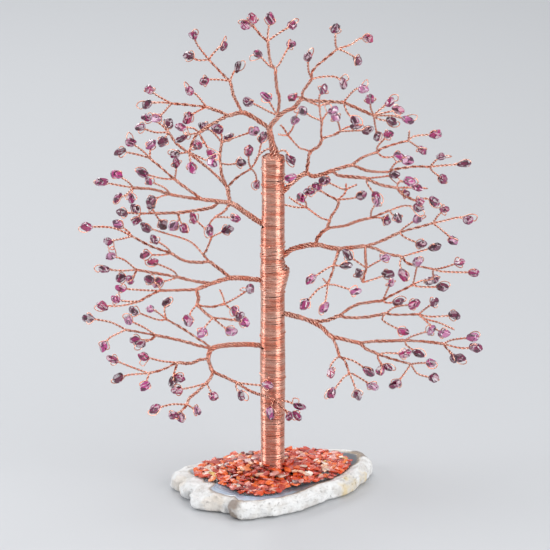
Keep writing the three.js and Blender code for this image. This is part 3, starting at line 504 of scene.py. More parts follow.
# A branch is a list that starts at its parent's latest point. Its items are points [across, up, depth],
# where a missing depth is filled in between the ones given, and other branches. A branch that ends on a
# point carries a chip there, unless it ends with BARE. One whose first item is a name is a piece of its own.
BARE = "bare"
CROWN = [
  ["crown_leader", [1, 176, 0], [-0.8, 184.5], [-2, 190.5, 0],
    [[-5.5, 193.5], [-12.3, 198], [-15, 199, 2],
      ["spray_crown_west_top", [-16.6, 201.7], [-19.6, 208], [-21.2, 215, 8],
        [[-30.5, 216], [-34, 215]],
        [[-20, 219], [-17.5, 223]],
        [[-24.4, 218.5], [-31.8, 226.7, 15],
          [[-37.8, 234.6], [-39.3, 238.7]],
          [[-37.3, 226.7], [-42, 229]],
          [[-27, 233.3], [-24.8, 234.5]]]],
      [-21.6, 197.6, 2],
      ["spray_crown_west", [-26, 199], [-32.6, 201.3, -6],
        [[-37.6, 207.3], [-41, 209]],
        [[-39.8, 197.6], [-42, 195.7]],
        [[-40, 202.2], [-49.5, 203, -8],
          [[-57, 207], [-60.5, 209.7]],
          [[-56, 203.6], [-62, 202.5]],
          [[-54, 198.7], [-57.5, 196]]]],
      [-26.6, 194.8], [-32, 191.5, -8],
      ["spray_crown_west_low", [-34.4, 189.4], [-36.2, 188, -12],
        [[-39, 190], [-45, 190.5]],
        [[-41.2, 187], [-45, 185]],
        [[-33.7, 183, -16],
          [[-37, 181.5]],
          [[-30.5, 177]]],
        [-38.7, 185], [-41, 178.5, -18],
        [[-36, 175.2], [-29.8, 172.2]],
        [[-40.5, 173], [-39.8, 169.6]],
        [[-48, 177]]]],
    [[-1, 192.5], [2.3, 196.5, -2],
      [[-3, 199.5], [-8, 202], [-12.5, 203.7]],
      [[0.5, 200], [-3.5, 206.8]],
      ["spray_crown_top", [2.5, 200], [3, 206], [1.8, 212], [1, 221.3, 5],
        [[-2, 222.8], [-7.6, 228.8]],
        [[-1, 224], [-2.7, 235.2, 8],
          [[-6, 238.5], [-9.5, 243, 8], [[-10, 247]], [[-13.5, 244]]],
          [[-2.6, 240], [-1.5, 247]],
          [[2, 239.5], [9.5, 244.5]]],
        [[3, 224], [6.5, 231], [9, 235]]],
      [6, 199.5], [10, 201], [14.1, 205.5, -4],
      [[12, 206.3], [9.5, 206]],
      ["spray_crown_east_top", [14.5, 209], [18.7, 215, -8],
        [[17.3, 219], [16.8, 226]],
        [[22, 216.2], [31, 216.3], [34.5, 212.8]],
        [[19, 219], [25, 225], [31, 230, -12],
          [[30.3, 232], [30.2, 239.8]],
          [[38, 232.5], [42, 235.3], [46.5, 235.7]],
          [[38, 227.5], [41.5, 225]]]],
      [19, 204.6], [34, 203.8, -6],
      ["spray_crown_east", [38, 202.3], [49, 197.3, -4],
        [[47.8, 201], [47.5, 205]],
        [[53, 200.5], [57.5, 204]],
        [[54, 198.5], [62, 200.5]],
        [[59, 196.8], [66, 194.5]],
        [[52, 195.3], [58.5, 194.3]],
        [[50.3, 192.5], [51.5, 187]]],
      [[38, 208], [41, 210.3], [44, 209.7]],
      [[36.5, 198.5], [40.2, 194.5]]]],

  ["limb_right_upper", [4, 158, 0], [10, 163.5], [16.2, 167.6, -2],
    [[8.5, 165.3]],
    [[17, 172], [18.2, 178.3, -4],
      ["spray_inner_right", [16, 180], [13, 181.2], [7.5, 187.5, 8],
        [[9.5, 191], [10.8, 195]],
        [[5, 191.5], [3.6, 193], BARE],
        [[5, 188], [2.6, 188.6], BARE]],
      [22.5, 181.5], [24, 185, -8],
      ["spray_right_rise_left", [23.5, 187], [23.8, 193.5, -12],
        [[18.5, 196], [14.5, 198.8]],
        [[27, 198.5], [29.5, 199.3]],
        [[23, 197], [22.7, 201, -15],
          [[22.5, 206], [24.5, 209.3]],
          [[17, 203.7], BARE],
          [[27.5, 203.3], BARE]]],
      ["spray_right_rise_right", [30, 187.3], [33, 189.3, 3],
        [[32.3, 193], [30.7, 196.5]],
        [[36.5, 191.5], [41, 192.3]],
        [[38, 189.8], [47, 190.5]]]],
    [20, 166.2], [29, 168.9, 0],
    ["spray_right_upper_low", [32, 166.8], [37, 166], [45.5, 165, -8],
      [[53, 165.5], [59.5, 166.5]],
      [[46.5, 162], [49.5, 157.5], [51, 155]],
      [[53, 161.5], [60.5, 160, -12],
        [[64, 160], [70.8, 159.8]],
        [[62, 163], [67, 163.3]],
        [[62.5, 158.5], [65.5, 157.3]],
        [[63, 157], [69, 153.8, -10], [[72.5, 152.8]], [[75, 154.5], [79.7, 153]]]]],
    [33, 170.5], [38.9, 172.2, 4],
    ["spray_right_upper_high", [45, 176.5], [51.5, 179, 12],
      [[52, 182], [57.3, 188]],
      [[55, 176.7], [63, 177]],
      [[54, 181], [63, 184], [67, 185, 14],
        [[67.8, 190], BARE],
        [[70, 187.3], [81, 188.5]],
        [[71, 183], [74.8, 180.5]]]],
    ["spray_right_upper_tip", [46, 169.5], [50, 168.7], [57, 168.5, 2],
      [[61, 173.3], [66.5, 174.3]],
      [[60, 169.8], [71, 171.2], [77, 171, -3],
        [[80.5, 174.5], [82.7, 176]],
        [[82, 171.5], [94.5, 172.5]],
        [[79, 168.8], [84.5, 165]]]]],

  ["limb_right_middle", [4, 124.5, 0], [8.3, 128.3], [21, 130.8, -2],
    [[22, 134], [26.7, 139, 0],
      ["spray_behind_right", [27.5, 141], [28.2, 143.5, 8],
        [[24, 145], [16.9, 150.3, 13],
          [[16.2, 153], [13.8, 155.3]],
          [[12, 150.5], [5, 152], BARE],
          [[12, 153], [8, 156], BARE]],
        [[29, 145.5], [32.7, 152], [32.3, 154, 12],
          [[28, 156.5], [24, 159, 12], [[21.7, 161.3]], [[18.2, 158.8]]],
          [[40, 155.3], [44.3, 156.7]],
          [[35.7, 157.5], [36.5, 159.5, 14],
            [[34.5, 160], [25.5, 164.2]],
            [[36.5, 163], BARE],
            [[42, 162.5], BARE]]]],
      [35, 140.5], [40, 142.3, -4],
      ["spray_right_middle_high", [44, 143.6], [48, 144.5, -6],
        [[48.5, 148], [51.3, 153]],
        [[57.5, 148.3, -8],
          [[58.7, 146.5], [61.5, 144.3]],
          [[65, 150.8], [71.8, 149.8]]],
        [[53, 144.7], [56.5, 143.5]]]],
    [28, 129.3], [32.5, 128.7, -2],
    ["spray_right_middle_low", [32, 126], [30, 120.3, -14],
      [[26, 118], [18.5, 112.8]],
      [[33, 119.7], [36.3, 120]],
      [[29.5, 117], [27, 110.5, -20],
        [[22, 107.5], [15.5, 99.8]],
        [[26.5, 106], [25.3, 98.3]],
        [[31, 109.7], [40.8, 106.5]],
        [[24.5, 113], BARE]]],
    [45.5, 130, 0],
    ["spray_right_middle_inner", [46, 124], [46.3, 119, -8],
      [[50, 121], [55.3, 124]],
      [[42, 121.7], [37, 125.5]],
      [[45.3, 115], [44.5, 111.5, -9],
        [[42.3, 116]],
        [[49, 112.5], [57.2, 115.5]]]],
    ["spray_right_middle_far", [52, 128.5], [56, 126.2], [64.5, 124.7, 8],
      [[63.5, 121], [65, 115]],
      [[69, 126], [81, 129.7]],
      [[67, 121.5], [80, 118.2, 10],
        [[85, 118.8], [93.5, 121.7]],
        [[84, 117], [101, 116.3]],
        [[80.5, 115.5], [81.7, 112.8]]]],
    ["spray_right_middle_tip", [53, 132.3], [62.5, 137, 2],
      [[65, 139.5], [71.5, 144.2]],
      [[66, 134.5], [74, 131]],
      [[70, 139.3], [79, 141.9, 2],
        [[82, 146], [85, 149]],
        [[84, 143], [93, 145], [97, 143.7]],
        [[86, 137], [90.3, 133]]]]],

  ["limb_right_lower", [4, 95, 0], [15, 92.3, -1],
    [[22, 90.8], [28, 91.5], [33, 93.5, 0],
      ["spray_right_lower_high", [37, 96.6], [42, 99.4], [54.5, 101.5, 6],
        [[57.5, 108], [58.8, 111]],
        [[57, 100.4], [63, 100.8]],
        [[58, 103.5], [69.5, 109.6, 4],
          [[71.3, 117], [72, 122]],
          [[73, 108.9], [84.8, 108.7]],
          [[75, 112], [78.6, 111.8]]]],
      [36, 92.8], [43, 92.7, -3],
      ["spray_right_lower_mid", [48, 93.2], [56, 95, -6],
        [[60.5, 98.3], [70, 99.8]],
        [[54.5, 92], [65, 85.3]],
        [[60, 94.3], [72, 94.5, -8],
          [[75, 97], [80, 101]],
          [[78, 93.3], [90.5, 94]],
          [[76, 92], [83, 90], [91, 86.3], BARE],
          [[80, 87.5], [85, 84.6]]]]],
    [24, 88], [28.7, 83.2, -10],
    ["spray_right_low_drop", [31.5, 78], [33, 72.8, -18],
      [[31, 71.5], [28.5, 68], [28.7, 64.5]],
      [[40, 70.3], [47.5, 65]],
      [[35.5, 70.5], [37.8, 64, -22],
        [[35, 62], [28.8, 53.8]],
        [[39.5, 60], [42, 52.5]],
        [[40, 63.3], [49.8, 57]]]],
    [33, 82], [43, 79.6, -12],
    ["spray_right_low_mid", [46.5, 76.5], [52, 74, -18],
      [[52, 72], [53.5, 69, -19], [[53.3, 65.5]], [[56.8, 67]]],
      [[56, 74.5], [65.5, 74]],
      [[60, 71], [68, 68.8, -17],
        [[72, 69.3], [78, 69.5]],
        [[65.5, 64], [61, 58]],
        [[72, 63.5], [80.3, 61]]]],
    ["spray_right_low_tip", [48, 80.2], [65.5, 80.8, -8],
      [[69, 83], [78.5, 86.3]],
      [[66.5, 78.5], [72.5, 74]],
      [[77, 80], [85, 79, -4],
        [[89, 81], [99.5, 82.5]],
        [[94, 76.7], [101.5, 77]],
        [[87.5, 76], [89.5, 73.5, -4], [[90.3, 71.5]], [[93.7, 71.5]]]]]],

  ["limb_left_upper", [-4, 141, 0], [-12.3, 146.4], [-20.7, 152.2, 2],
    ["spray_left_upper_under", [-24.4, 147.8], [-28.4, 145, -14],
      [[-23.7, 144.8], [-18.4, 144.2]],
      [[-31, 142], [-31.3, 138]]],
    [[-22.3, 157], [-22.8, 160.5, 10],
      ["spray_inner_left", [-18.4, 165.8], [-11.5, 170.5, 16],
        [[-12.3, 174], [-12.2, 179.7]],
        [[-8, 176], [-6.2, 183], [-5.2, 187]],
        [[-9, 168], [-8.3, 162.5]]],
      ["spray_left_high", [-28, 166.5], [-36.2, 174], [-48, 183.5], [-52, 189, 12],
        [[-58.7, 189.2], [-66, 191.6]],
        [[-56, 193.5], [-62.6, 197]],
        [[-52.6, 194]],
        [[-55, 184.3]]],
      [-25.7, 167.3], [-26.4, 173, 16],
      [[-22, 173], [-16.2, 174.2]],
      ["spray_left_rise", [-26.8, 177], [-26, 184, 22],
        [[-30, 189.5], [-34.8, 192.7]],
        [[-26, 188.5], [-28.2, 192]],
        [[-22.4, 187.8]],
        [[-9.5, 190.5]]]],
    [-26.6, 153.2, 0],
    ["spray_left_upper_mid", [-29.4, 151], [-33, 149.8], [-47.3, 147.6, 8],
      [[-47, 144.5, 8], [[-44.5, 139.5]], [[-50, 140.5]]],
      [[-59, 147.4, 10],
        [[-61, 151]],
        [[-66, 147.2, 10], [[-75.5, 147.6]], [[-69.3, 149.8]], [[-69, 143.6]]],
        [[-55.5, 141.6]]]],
    [-34.4, 154, -4],
    ["spray_left_upper_far", [-43.4, 160.3], [-48.7, 164.5, 0],
      [[-48.2, 168], [-47.8, 173]],
      [[-54.4, 165], [-64.8, 167.6]],
      [[-54.4, 169.6], [-61, 175.5, 4],
        [[-65, 179.5], [-70.5, 183.5]],
        [[-71, 178.4], [-76, 179]],
        [[-61, 183]]]],
    ["spray_left_upper_tip", [-45, 155.6], [-50.5, 156.6, -8],
      [[-53.7, 160], [-61.2, 163.3]],
      [[-54.4, 156], [-60.5, 153.2]],
      [[-59.4, 159.2], [-68.7, 160, -10],
        [[-71.6, 163], [-77, 166.6]],
        [[-79.8, 162], [-84.4, 163]],
        [[-73, 156.4], [-77, 155]],
        [[-70, 154.3]]]]],

  ["limb_left_middle", [-4, 112, 0], [-13, 113.2], [-20.5, 113.5, -1],
    [[-26.6, 118], [-31.6, 121.8, 2],
      ["spray_left_middle_high", [-35, 125.5, 8],
        [[-33.4, 128.5], [-31, 135, 16],
          [[-33.7, 138.6], [-40, 145]],
          [[-28.4, 136.4], [-23, 139]]],
        [[-41.2, 132.2], [-53.7, 136.8], [-64, 140, 14]]],
      ["spray_left_middle_far", [-36.2, 121.6], [-44.4, 122.5], [-50.5, 126, -2],
        [[-53, 129.3], [-59, 133.4]],
        [[-55.5, 125.5], [-64, 125.5]],
        [[-61.6, 130.4], [-70, 135, -4],
          [[-79.4, 139.4], [-92.3, 140]],
          [[-72, 137.5], [-77.3, 141.5]],
          [[-75, 134], [-82.6, 132.6]]]]],
    [-30, 110.8, -4],
    ["spray_left_middle_mid", [-38, 111.6], [-47.6, 113.8, 6],
      [[-50, 117], [-60, 121.8]],
      [[-52, 112.4], [-58, 111]],
      [[-59, 116], [-68.4, 117.7, 10],
        [[-75, 123], [-81.2, 125]],
        [[-76, 117.3], [-85, 118]],
        [[-70, 114.7, 10], [[-72, 112.5]], [[-77, 113.5]]]]],
    [-38, 107.5, -8],
    ["spray_left_middle_low", [-46.6, 107.2], [-56, 106.8, -8],
      [[-66, 107.2], [-75.5, 108]],
      [[-57, 109.5], [-61.7, 112.8]],
      [[-63, 103.5], [-66, 101.5, -12],
        [[-73.4, 101.4], [-78, 102.5]],
        [[-76, 99], [-84.8, 99]]]],
    ["spray_left_middle_inner", [-37, 103], [-37.7, 99.7, -18],
      [[-40.5, 96], [-42, 91.5]],
      [[-31, 98.5], [-24.4, 100, -16],
        [[-18, 103.5], [-11.5, 108]],
        [[-22, 98.2], [-18.7, 96]],
        [[-25, 104], [-26.5, 107.3], BARE]],
      [[-33, 95], [-30, 93, -24],
        [[-33, 89], [-35, 85.3]],
        [[-23.5, 87.5], [-20.7, 86]],
        [[-25, 92.5], [-20.5, 91.8, -24], [[-16.5, 93.7]], [[-14, 90.5]]]]]],

  ["limb_left_lower", [-4, 77.5, 0], [-13, 78.5], [-30.3, 76.6, -4],
    ["spray_left_lower_high", [-35, 79.7], [-46.6, 87.4], [-53.7, 91.5, 10],
      [[-58.7, 95.6], [-61.6, 97]],
      [[-57.3, 91.2], [-70.5, 96]],
      [[-55, 96.8], [-54, 100.5]]],
    ["spray_left_lower_far", [-37, 77.9], [-45, 80.3], [-58.4, 83.3, -2],
      [[-64.4, 87.4], [-72.3, 91.5]],
      [[-61, 81.3, -2], [[-66.5, 79]], [[-69.5, 81]]],
      [[-68, 85.2], [-73.4, 86.3, -5],
        [[-81, 90.3], [-92.3, 92.5]],
        [[-77.5, 84.5], [-82, 82], [-85, 77.5]]]],
    [-32.4, 71.5, -8],
    ["spray_left_low_far", [-37, 70.5], [-41, 68.8], [-47.5, 69.2, -10],
      [[-55, 70], [-64.5, 72.7]],
      [[-49.5, 64, -11], [[-50.2, 59]], [[-46.7, 61]]],
      [[-55, 65.7], [-61.5, 63.8, -12],
        [[-64, 56.8]],
        [[-72, 62.8], [-77.5, 61.2]],
        [[-70, 66.5], [-80.5, 70.7]]]],
    [-30.5, 65, -12],
    ["spray_low_front", [-24, 61.5], [-19, 59, -11],
      [[-7, 57.3], [-3, 57.3, -8]],
      [[-18.3, 55.5], [-16, 52]],
      [[-11, 54], [-1, 50.2, -8],
        [[-1.3, 42.5, -8]],
        [[8, 48.3], [13, 46]],
        [[6, 44, -8], [[8, 41]], [[12, 41]]]]],
    ["spray_left_low", [-30.8, 62], [-33, 59, -18],
      [[-31, 54.5], [-29.5, 52]],
      [[-40, 56.7], [-48, 55]],
      [[-37, 55], [-42, 50.5], [-42.7, 48, -24],
        [[-50, 48], [-58.5, 45.8]],
        [[-45.5, 44.5, -24], [[-49.7, 42.3]], [[-46, 40.7]]],
        [[-38, 44.3]]]]],
]


def is_point(item):
    return isinstance(item, list) and isinstance(item[0], (int, float))


def is_branch(item):
    return isinstance(item, list) and not is_point(item)


def chips_on(items):
    carried = sum(chips_on(item) for item in items if is_branch(item))
    return carried + is_point(items[-1])


def place(point, in_trunk=False):
    """Where a drawn point of the crown lies: deepened, and clear of the trunk."""
    across, up, depth = point
    back = depth * CROWN_DEEPENING
    at = np.array([across, back, up - CROWN_PITCH * back])
    reach = math.hypot(at[0], at[1])
    if not in_trunk and at[2] < TRUNK_TOP and reach < TRUNK_KEEP_OUT:
        at[:2] *= TRUNK_KEEP_OUT / reach
    return at


def with_depths(items, depth, turn):
    """The points of a branch, each with a depth: between the ones given, or fanned towards its end."""
    points = [list(item) for item in items if is_point(item)]
    known = depth
    start = -1
    for i, point in enumerate(points):
        if len(point) < 3:
            continue
        for k in range(start + 1, i):
            points[k].append(known + (point[2] - known) * (k - start) / (i - start))
        known = point[2]
        start = i
    for k in range(start + 1, len(points)):
        points[k].append(known + CROWN_FAN * turn * (k - start))
    return points


def bundle_radius(chips):
    return PAIR_RADIUS * max(chips, 1) ** BUNDLE_GROWTH


class Spray:
    """The wires and the stones of one named piece of the crown."""

    def __init__(self):
        self.wire = Heap()
        self.stones = Heap()
        self.facets = []


sprays = {}
branch_numbers = itertools.count(1)


def twisted_pair(heap, route, first, length, lay, offset, open_to=()):
    """Two wires twisted round each other along a route, with painted shade where they face each other."""
    along = tangents(route)
    first = unit(first - along * np.sum(first * along, axis=1, keepdims=True))
    second = np.cross(along, first)
    for half in (0, 0.5):
        turn = 2 * math.pi * (length / lay + half)
        out = np.cos(turn)[:, None] * first + np.sin(turn)[:, None] * second
        tube(heap, route + out * offset, STRAND, STRAND_SIDES, out, [(out, *PAIR_OPENNESS), *open_to])


def rope(heap, route, swell, chips, start_length, dice):
    """The twisted pairs that run to a branch's chips. A bundle has only as many as lie on its outside."""
    length = start_length + lengths_along(route)
    first, second = frames_along(route)
    if chips < 2:
        twisted_pair(heap, route, first, length, PAIR_LAY, PAIR_OFFSET)
        return
    radius = max(bundle_radius(chips), BUNDLE_LEAST)
    pair = STRAND + BOUND_OFFSET
    offset = radius - pair
    lay = BUNDLE_LAY + BUNDLE_LAY_GROWTH * (radius - PAIR_RADIUS)
    slope = math.atan(2 * math.pi * offset / lay)
    fitting = round(math.pi * offset * math.cos(slope) / (pair * PAIR_PACKING))
    pairs = 2 if chips < 4 else max(3, fitting)
    if pairs > 3:
        # A plain core fills the hollow of a thick bundle. It shows only between the pairs, and its colour is
        # wholly the copper's painted shade.
        tube(heap, route, offset * swell, CORE_TUBE_SIDES, open_to=[(first, 0, 0)])
    for number in range(pairs):
        turn = 2 * math.pi * (length / lay + number / pairs)
        wander = PAIR_WANDER * np.sin(length * dice.uniform(0.2, 0.5) + dice.uniform(0, 6.3))
        out = np.cos(turn)[:, None] * first + np.sin(turn)[:, None] * second
        line = route + out * (offset * swell + wander)[:, None]
        shifted = length + dice.uniform(0, PAIR_LAY)
        # Each pair is painted with shade on its side towards the bundle's middle.
        twisted_pair(heap, line, out, shifted, BOUND_LAY, BOUND_OFFSET, [(out, *BUNDLE_OPENNESS)])


# The two ways in which a wire holds its chip: points along the twig and to its side, from the chip's middle.
# The wire starts and ends a little to the side of the pair's end.
HOLDS = {
    "across": [(-2.3, 1.7), (-0.6, 2.9), (0.5, 2.2), (0.2, 0), (0.5, -2.2), (-0.6, -2.9), (-2.3, -1.7)],
    "beyond": [(-1.6, -0.2), (0, 0), (3.4, 0.1), (4.0, 1.2), (3.0, 2.4), (0.6, 2.9), (-1.5, 2.0)],
}
HOLD_START = {"across": 0.2, "beyond": -0.2}
ACROSS_SHARE = 0.75
OPEN_LOOP_AWAY = 3.2  # a bare arc's middle is at most this far from its chip's
OPEN_LOOP_RADIUS = 1.9


def loop_wire(heap, base, centre, along, side, style, target):
    """The wire that runs out of a pair, through the chip and back. target is the middle of a bare arc."""
    if target is not None:
        away = unit(target - centre)
        target = centre + away * min(np.linalg.norm(target - centre), OPEN_LOOP_AWAY)
        back = base - target
        back = unit(back - away * (back @ away) + side * 0.01)
        arc = [target + way * OPEN_LOOP_RADIUS for way in (-back, away, back)]
        points = [base, centre - away * 0.4, centre + away * 0.6, *arc, base + back * 0.5]
    else:
        start = side * HOLD_START[style]
        held = [centre + along * onward + side * beside for onward, beside in HOLDS[style]]
        points = [base + start, *held, base - start]
    inside_pair = along * -0.7
    route, _ = smooth_route([points[0] + inside_pair, *points, points[-1] + inside_pair], 0.4)
    tube(heap, route, STRAND * 0.9, STRAND_SIDES)


# Where a bare arc of wire shows beside a chip, across and up as drawn.
OPEN_LOOPS = [
  (-19.4, 228.6), (-24, 238.3), (-43, 213), (-66, 202), (-41.2, 187), (-27.5, 176), (-10, 226.4),
  (-71.2, 187.5), (-80.5, 129), (-90, 118.6), (-37, 152), (18.5, 229), (35.5, 217.3), (45.5, 213.5),
  (60.5, 206.8), (69, 195.8), (86.5, 176), (96, 173), (61.5, 161.7), (73.8, 159.5), (69.5, 163), (74, 145),
  (100, 145), (12, 198.5), (27, 200.7), (5.5, 201.5), (4, 181.5), (-14.5, 107.5), (11, 49), (-64.8, 67.5),
]
LOOP_REACH = 5.5  # a bare arc further than this from a chip belongs to another

GARNET_SHAPE = [(1.15, 1.45), (0.88, 1.12), (0.7, 0.95)]  # least and most half lengths, in chip radii
GARNET_CORNERS = 20
GARNET_ROUNDING = 0.3


def garnet(spray, centre, along, side, dice):
    """A chip at the end of a pair, with a chance value for each facet, which picks the facets for painted
    glints and painted dark reflections.
    """
    size = [CHIP_RADIUS * dice.uniform(least, most) for least, most in GARNET_SHAPE]
    points, faces = stone(size, GARNET_CORNERS, dice, GARNET_ROUNDING)
    tilt = along + side * dice.uniform(-0.6, 0.6)
    roll = np.cross(along, side) + side * dice.uniform(-0.8, 0.8)
    spray.stones.add(turned(points, tilt, roll, centre), faces)
    spray.facets.extend(dice.random() for _ in faces)


def tip(spray, route, drawn, dice):
    """Ends a twisted pair in its loop and chip. Returns how many points of the route the pair keeps."""
    centre = route[-1]
    away = np.linalg.norm(route - centre, axis=1)
    neck = min(dice.uniform(2.6, 3.4), 0.55 * away[0])
    keep = max(2, int(np.argmax(away < neck)))
    base = route[keep - 1]
    along = unit(centre - base)
    near = [math.dist(drawn[:2], loop) for loop in OPEN_LOOPS]
    target = None
    if min(near) < LOOP_REACH:
        across, up = OPEN_LOOPS[near.index(min(near))]
        target = centre + np.array([across - drawn[0], 0, up - drawn[1]])
    side = unit(np.cross(along, (dice.uniform(-0.7, 0.7), 1, dice.uniform(-0.7, 0.7))))
    side = side * dice.choice((-1, 1))
    style = "across" if dice.random() < ACROSS_SHARE else "beyond"
    loop_wire(spray.wire, base, centre, along, side, style, target)
    garnet(spray, centre, along, side, dice)
    return keep


FLARE_HEIGHT = 9  # the leader spreads over this height to meet the trunk's top


def grow(items, start, heading, depth, owner, turn):
    """Makes the wires and stones of a branch, and then of the branches that fork from it."""
    named = isinstance(items[0], str)
    name = items[0] if named else owner
    body = items[1:] if named else items
    spray = sprays.setdefault(name, Spray())
    drawn = with_depths(body, depth, turn)
    controls = [] if start is None else [start]
    lead = len(controls)
    controls += [place(point, start is None and i == 0) for i, point in enumerate(drawn)]
    depths = [depth] * lead + [point[2] for point in drawn]
    forks = []
    reached = lead - 1
    for item in body:
        if is_point(item):
            reached += 1
        elif is_branch(item):
            forks.append((reached, item))
    carries = chips_on(body)
    lead_in = bundle_radius(carries) + 1.2
    route, stops = smooth_route([controls[0] - heading * lead_in, *controls], ROUTE_STEP)
    stops = stops[1:]
    dice = random.Random(next(branch_numbers))
    last = len(route)
    if is_point(body[-1]):
        last = tip(spray, route, drawn[-1], dice)
    length = lengths_along(route)
    left = carries
    begin = 0
    for stop, child in [*forks, (len(controls) - 1, None)]:
        end = min(stops[stop] + 2, last)
        if stops[stop] > begin and end - begin > 2:
            first = max(begin - 3, 0)
            part = route[first:end]
            swell = np.ones(len(part))
            if start is None and first == 0 and name == "crown_leader":
                swell = 1 + np.clip((TRUNK_TOP + FLARE_HEIGHT - part[:, 2]) / FLARE_HEIGHT, 0, 1) ** 1.3
            rope(spray.wire, part, swell, left, length[first], dice)
            begin = stops[stop]
        if child:
            left -= chips_on(child)
    for branches, (stop, child) in enumerate(forks):
        onward = unit(route[stops[stop]] - route[max(stops[stop] - 3, 0)])
        grow(child, controls[stop], onward, depths[stop], name, branches % 3 - 1)


def beside_the_leader():
    """A twig with one chip that hangs over the trunk's right edge, and a bare twig that leans to the left."""
    leader = sprays["crown_leader"]
    dice = random.Random(5)
    chip_twig = [(1.5, -1.5, 178), (3.4, -2.8, 180), (5.8, -3.6, 180.4), (8.8, -3.8, 175.9)]
    route, _ = smooth_route(chip_twig, ROUTE_STEP)
    keep = tip(leader, route, (8.8, 174.7), dice)
    rope(leader.wire, route[:keep], np.ones(keep), 1, 0, dice)
    bare_twig = [(-0.8, 0.5, 180.5), (-3.6, 2, 179.4), (-6.6, 4, 176.6), (-9, 5, 173)]
    route, _ = smooth_route(bare_twig, ROUTE_STEP)
    rope(leader.wire, route, np.ones(len(route)), 1, 0, dice)


for limb in CROWN:
    sideways = np.array([math.copysign(1, limb[1][0]), 0, 0])
    heading = np.array([0, 0, 1.0]) if limb[0] == "crown_leader" else sideways
    grow(limb, None, heading, 0, None, 0)
beside_the_leader()

for name, spray in sprays.items():
    spray.wire.piece(name + "_wire", twig_copper, "branch_copper", name)
    if spray.stones.count:
        stones = spray.stones.piece(name + "_garnets", garnet_stone, "garnet_spray", name, smooth=False)
        facet = stones.data.attributes.new("facet", "FLOAT", "FACE")
        facet.data.foreach_set("value", spray.facets)


# ---------------------------------------------------------------- trunk

TURN_STEPS = 40
GROOVE_TURN = -1.75  # the trunk has a shallow groove down its front, a little left of the middle
GROOVE_WIDTH = 0.35
GROOVE_DEPTH = 0.5
LEFT_STEP = 0.55
LEFT_STEP_HEIGHT = 142  # below this the left side stands out a little
SWELL = 0.35
SWELL_HEIGHT = 66
SWELL_LENGTH = 26
WINDING_OUT = 0.45  # from the core's outside to the winding's middle


def trunk_reach(turn, height):
    """How far the winding lies from the trunk's axis, round it and up it."""
    off = math.atan2(math.sin(turn - GROOVE_TURN), math.cos(turn - GROOVE_TURN))
    groove = GROOVE_DEPTH * math.exp(-((off / GROOVE_WIDTH) ** 2))
    left = max(0.0, -math.cos(turn)) * LEFT_STEP * (1 - 1 / (1 + math.exp(-(height - LEFT_STEP_HEIGHT))))
    swell = SWELL * math.exp(-(((height - SWELL_HEIGHT) / SWELL_LENGTH) ** 2))
    return TRUNK_RADIUS + WINDING_OUT + swell + left - groove


def at_turn(reach, turn, height):
    return (reach * math.cos(turn), reach * math.sin(turn), height)


def wound_wire(heap, line):
    """A fine wire that goes round the trunk, with TURN_STEPS points to a turn, open on its outer side and
    painted with shade where it faces the trunk and the turns beside it.
    """
    turn = np.arange(len(line)) * (2 * math.pi / TURN_STEPS)
    out = np.stack([np.cos(turn), np.sin(turn), 0 * turn], axis=1)
    tube(heap, np.array(line), WINDING, WINDING_SIDES, out, [(out, *WINDING_OPENNESS)])


LIMB_ROOTS = [(limb[1][0], limb[1][1], bundle_radius(chips_on(limb[1:]))) for limb in CROWN[1:]]


def parted(turn, height):
    """The height of a winding, pushed up or down where a limb comes out between the turns."""
    for side, root, radius in LIMB_ROOTS:
        off = math.cos(turn) * math.copysign(1, side)
        near = max(0.0, (off - 0.72) / 0.28)
        away = height - root
        push = radius * 0.95 * near * math.exp(-abs(away) / 5)
        height += math.copysign(push, away)
    return height


def winding(name, node, bottom, top, dice):
    """A fine wire wound round the trunk, turn on turn."""
    turns = (top - bottom) / WINDING_PITCH
    count = int(turns * TURN_STEPS)
    lifts = [max(0.0, dice.gauss(-0.02, 0.06)) for _ in range(int(turns) + 3)]
    slips = [dice.gauss(0, 0.09) for _ in range(int(turns) + 3)]
    line = []
    for i in range(count + 1):
        lap = i / TURN_STEPS
        turn = 2 * math.pi * lap
        share = lap - int(lap)
        lift = lifts[int(lap)] * (1 - share) + lifts[int(lap) + 1] * share
        slip = slips[int(lap)] * (1 - share) + slips[int(lap) + 1] * share
        height = bottom + (top - bottom) * i / count + slip
        height += 0.22 * math.sin(turn + lap * 0.05) + 0.10 * math.sin(lap * 0.9 + 2 * turn)
        reach = trunk_reach(turn, height) + lift + 0.05 * noise.noise(Vector((lap * 0.4, share * 3, 0)))
        line.append(at_turn(reach, turn, parted(turn, height)))
    heap = Heap()
    wound_wire(heap, line)
    heap.piece(name, wound_copper, "trunk_copper", node)


COLLAR_PITCH = 0.42
COLLAR_BULGE = 2.2  # how far the collar's widest turns stand out to the right
STRAY_OUT = 0.46  # from the winding's middle to a stray turn's

# Single turns that lie askew on the winding: height, how far they tilt, and where they start.
STRAY_TURNS = [
    (172, 1.9, 0.2), (168.5, -1.5, 0.5), (163, 1.3, 0.15), (158, 0.9, 0.4), (131, 1.1, 0.6),
    (127.6, 1.9, 0.1), (126, 1.4, 0.3), (107, -1.2, 0.2), (84, 1.0, 0.4), (62, -0.9, 0.6),
]


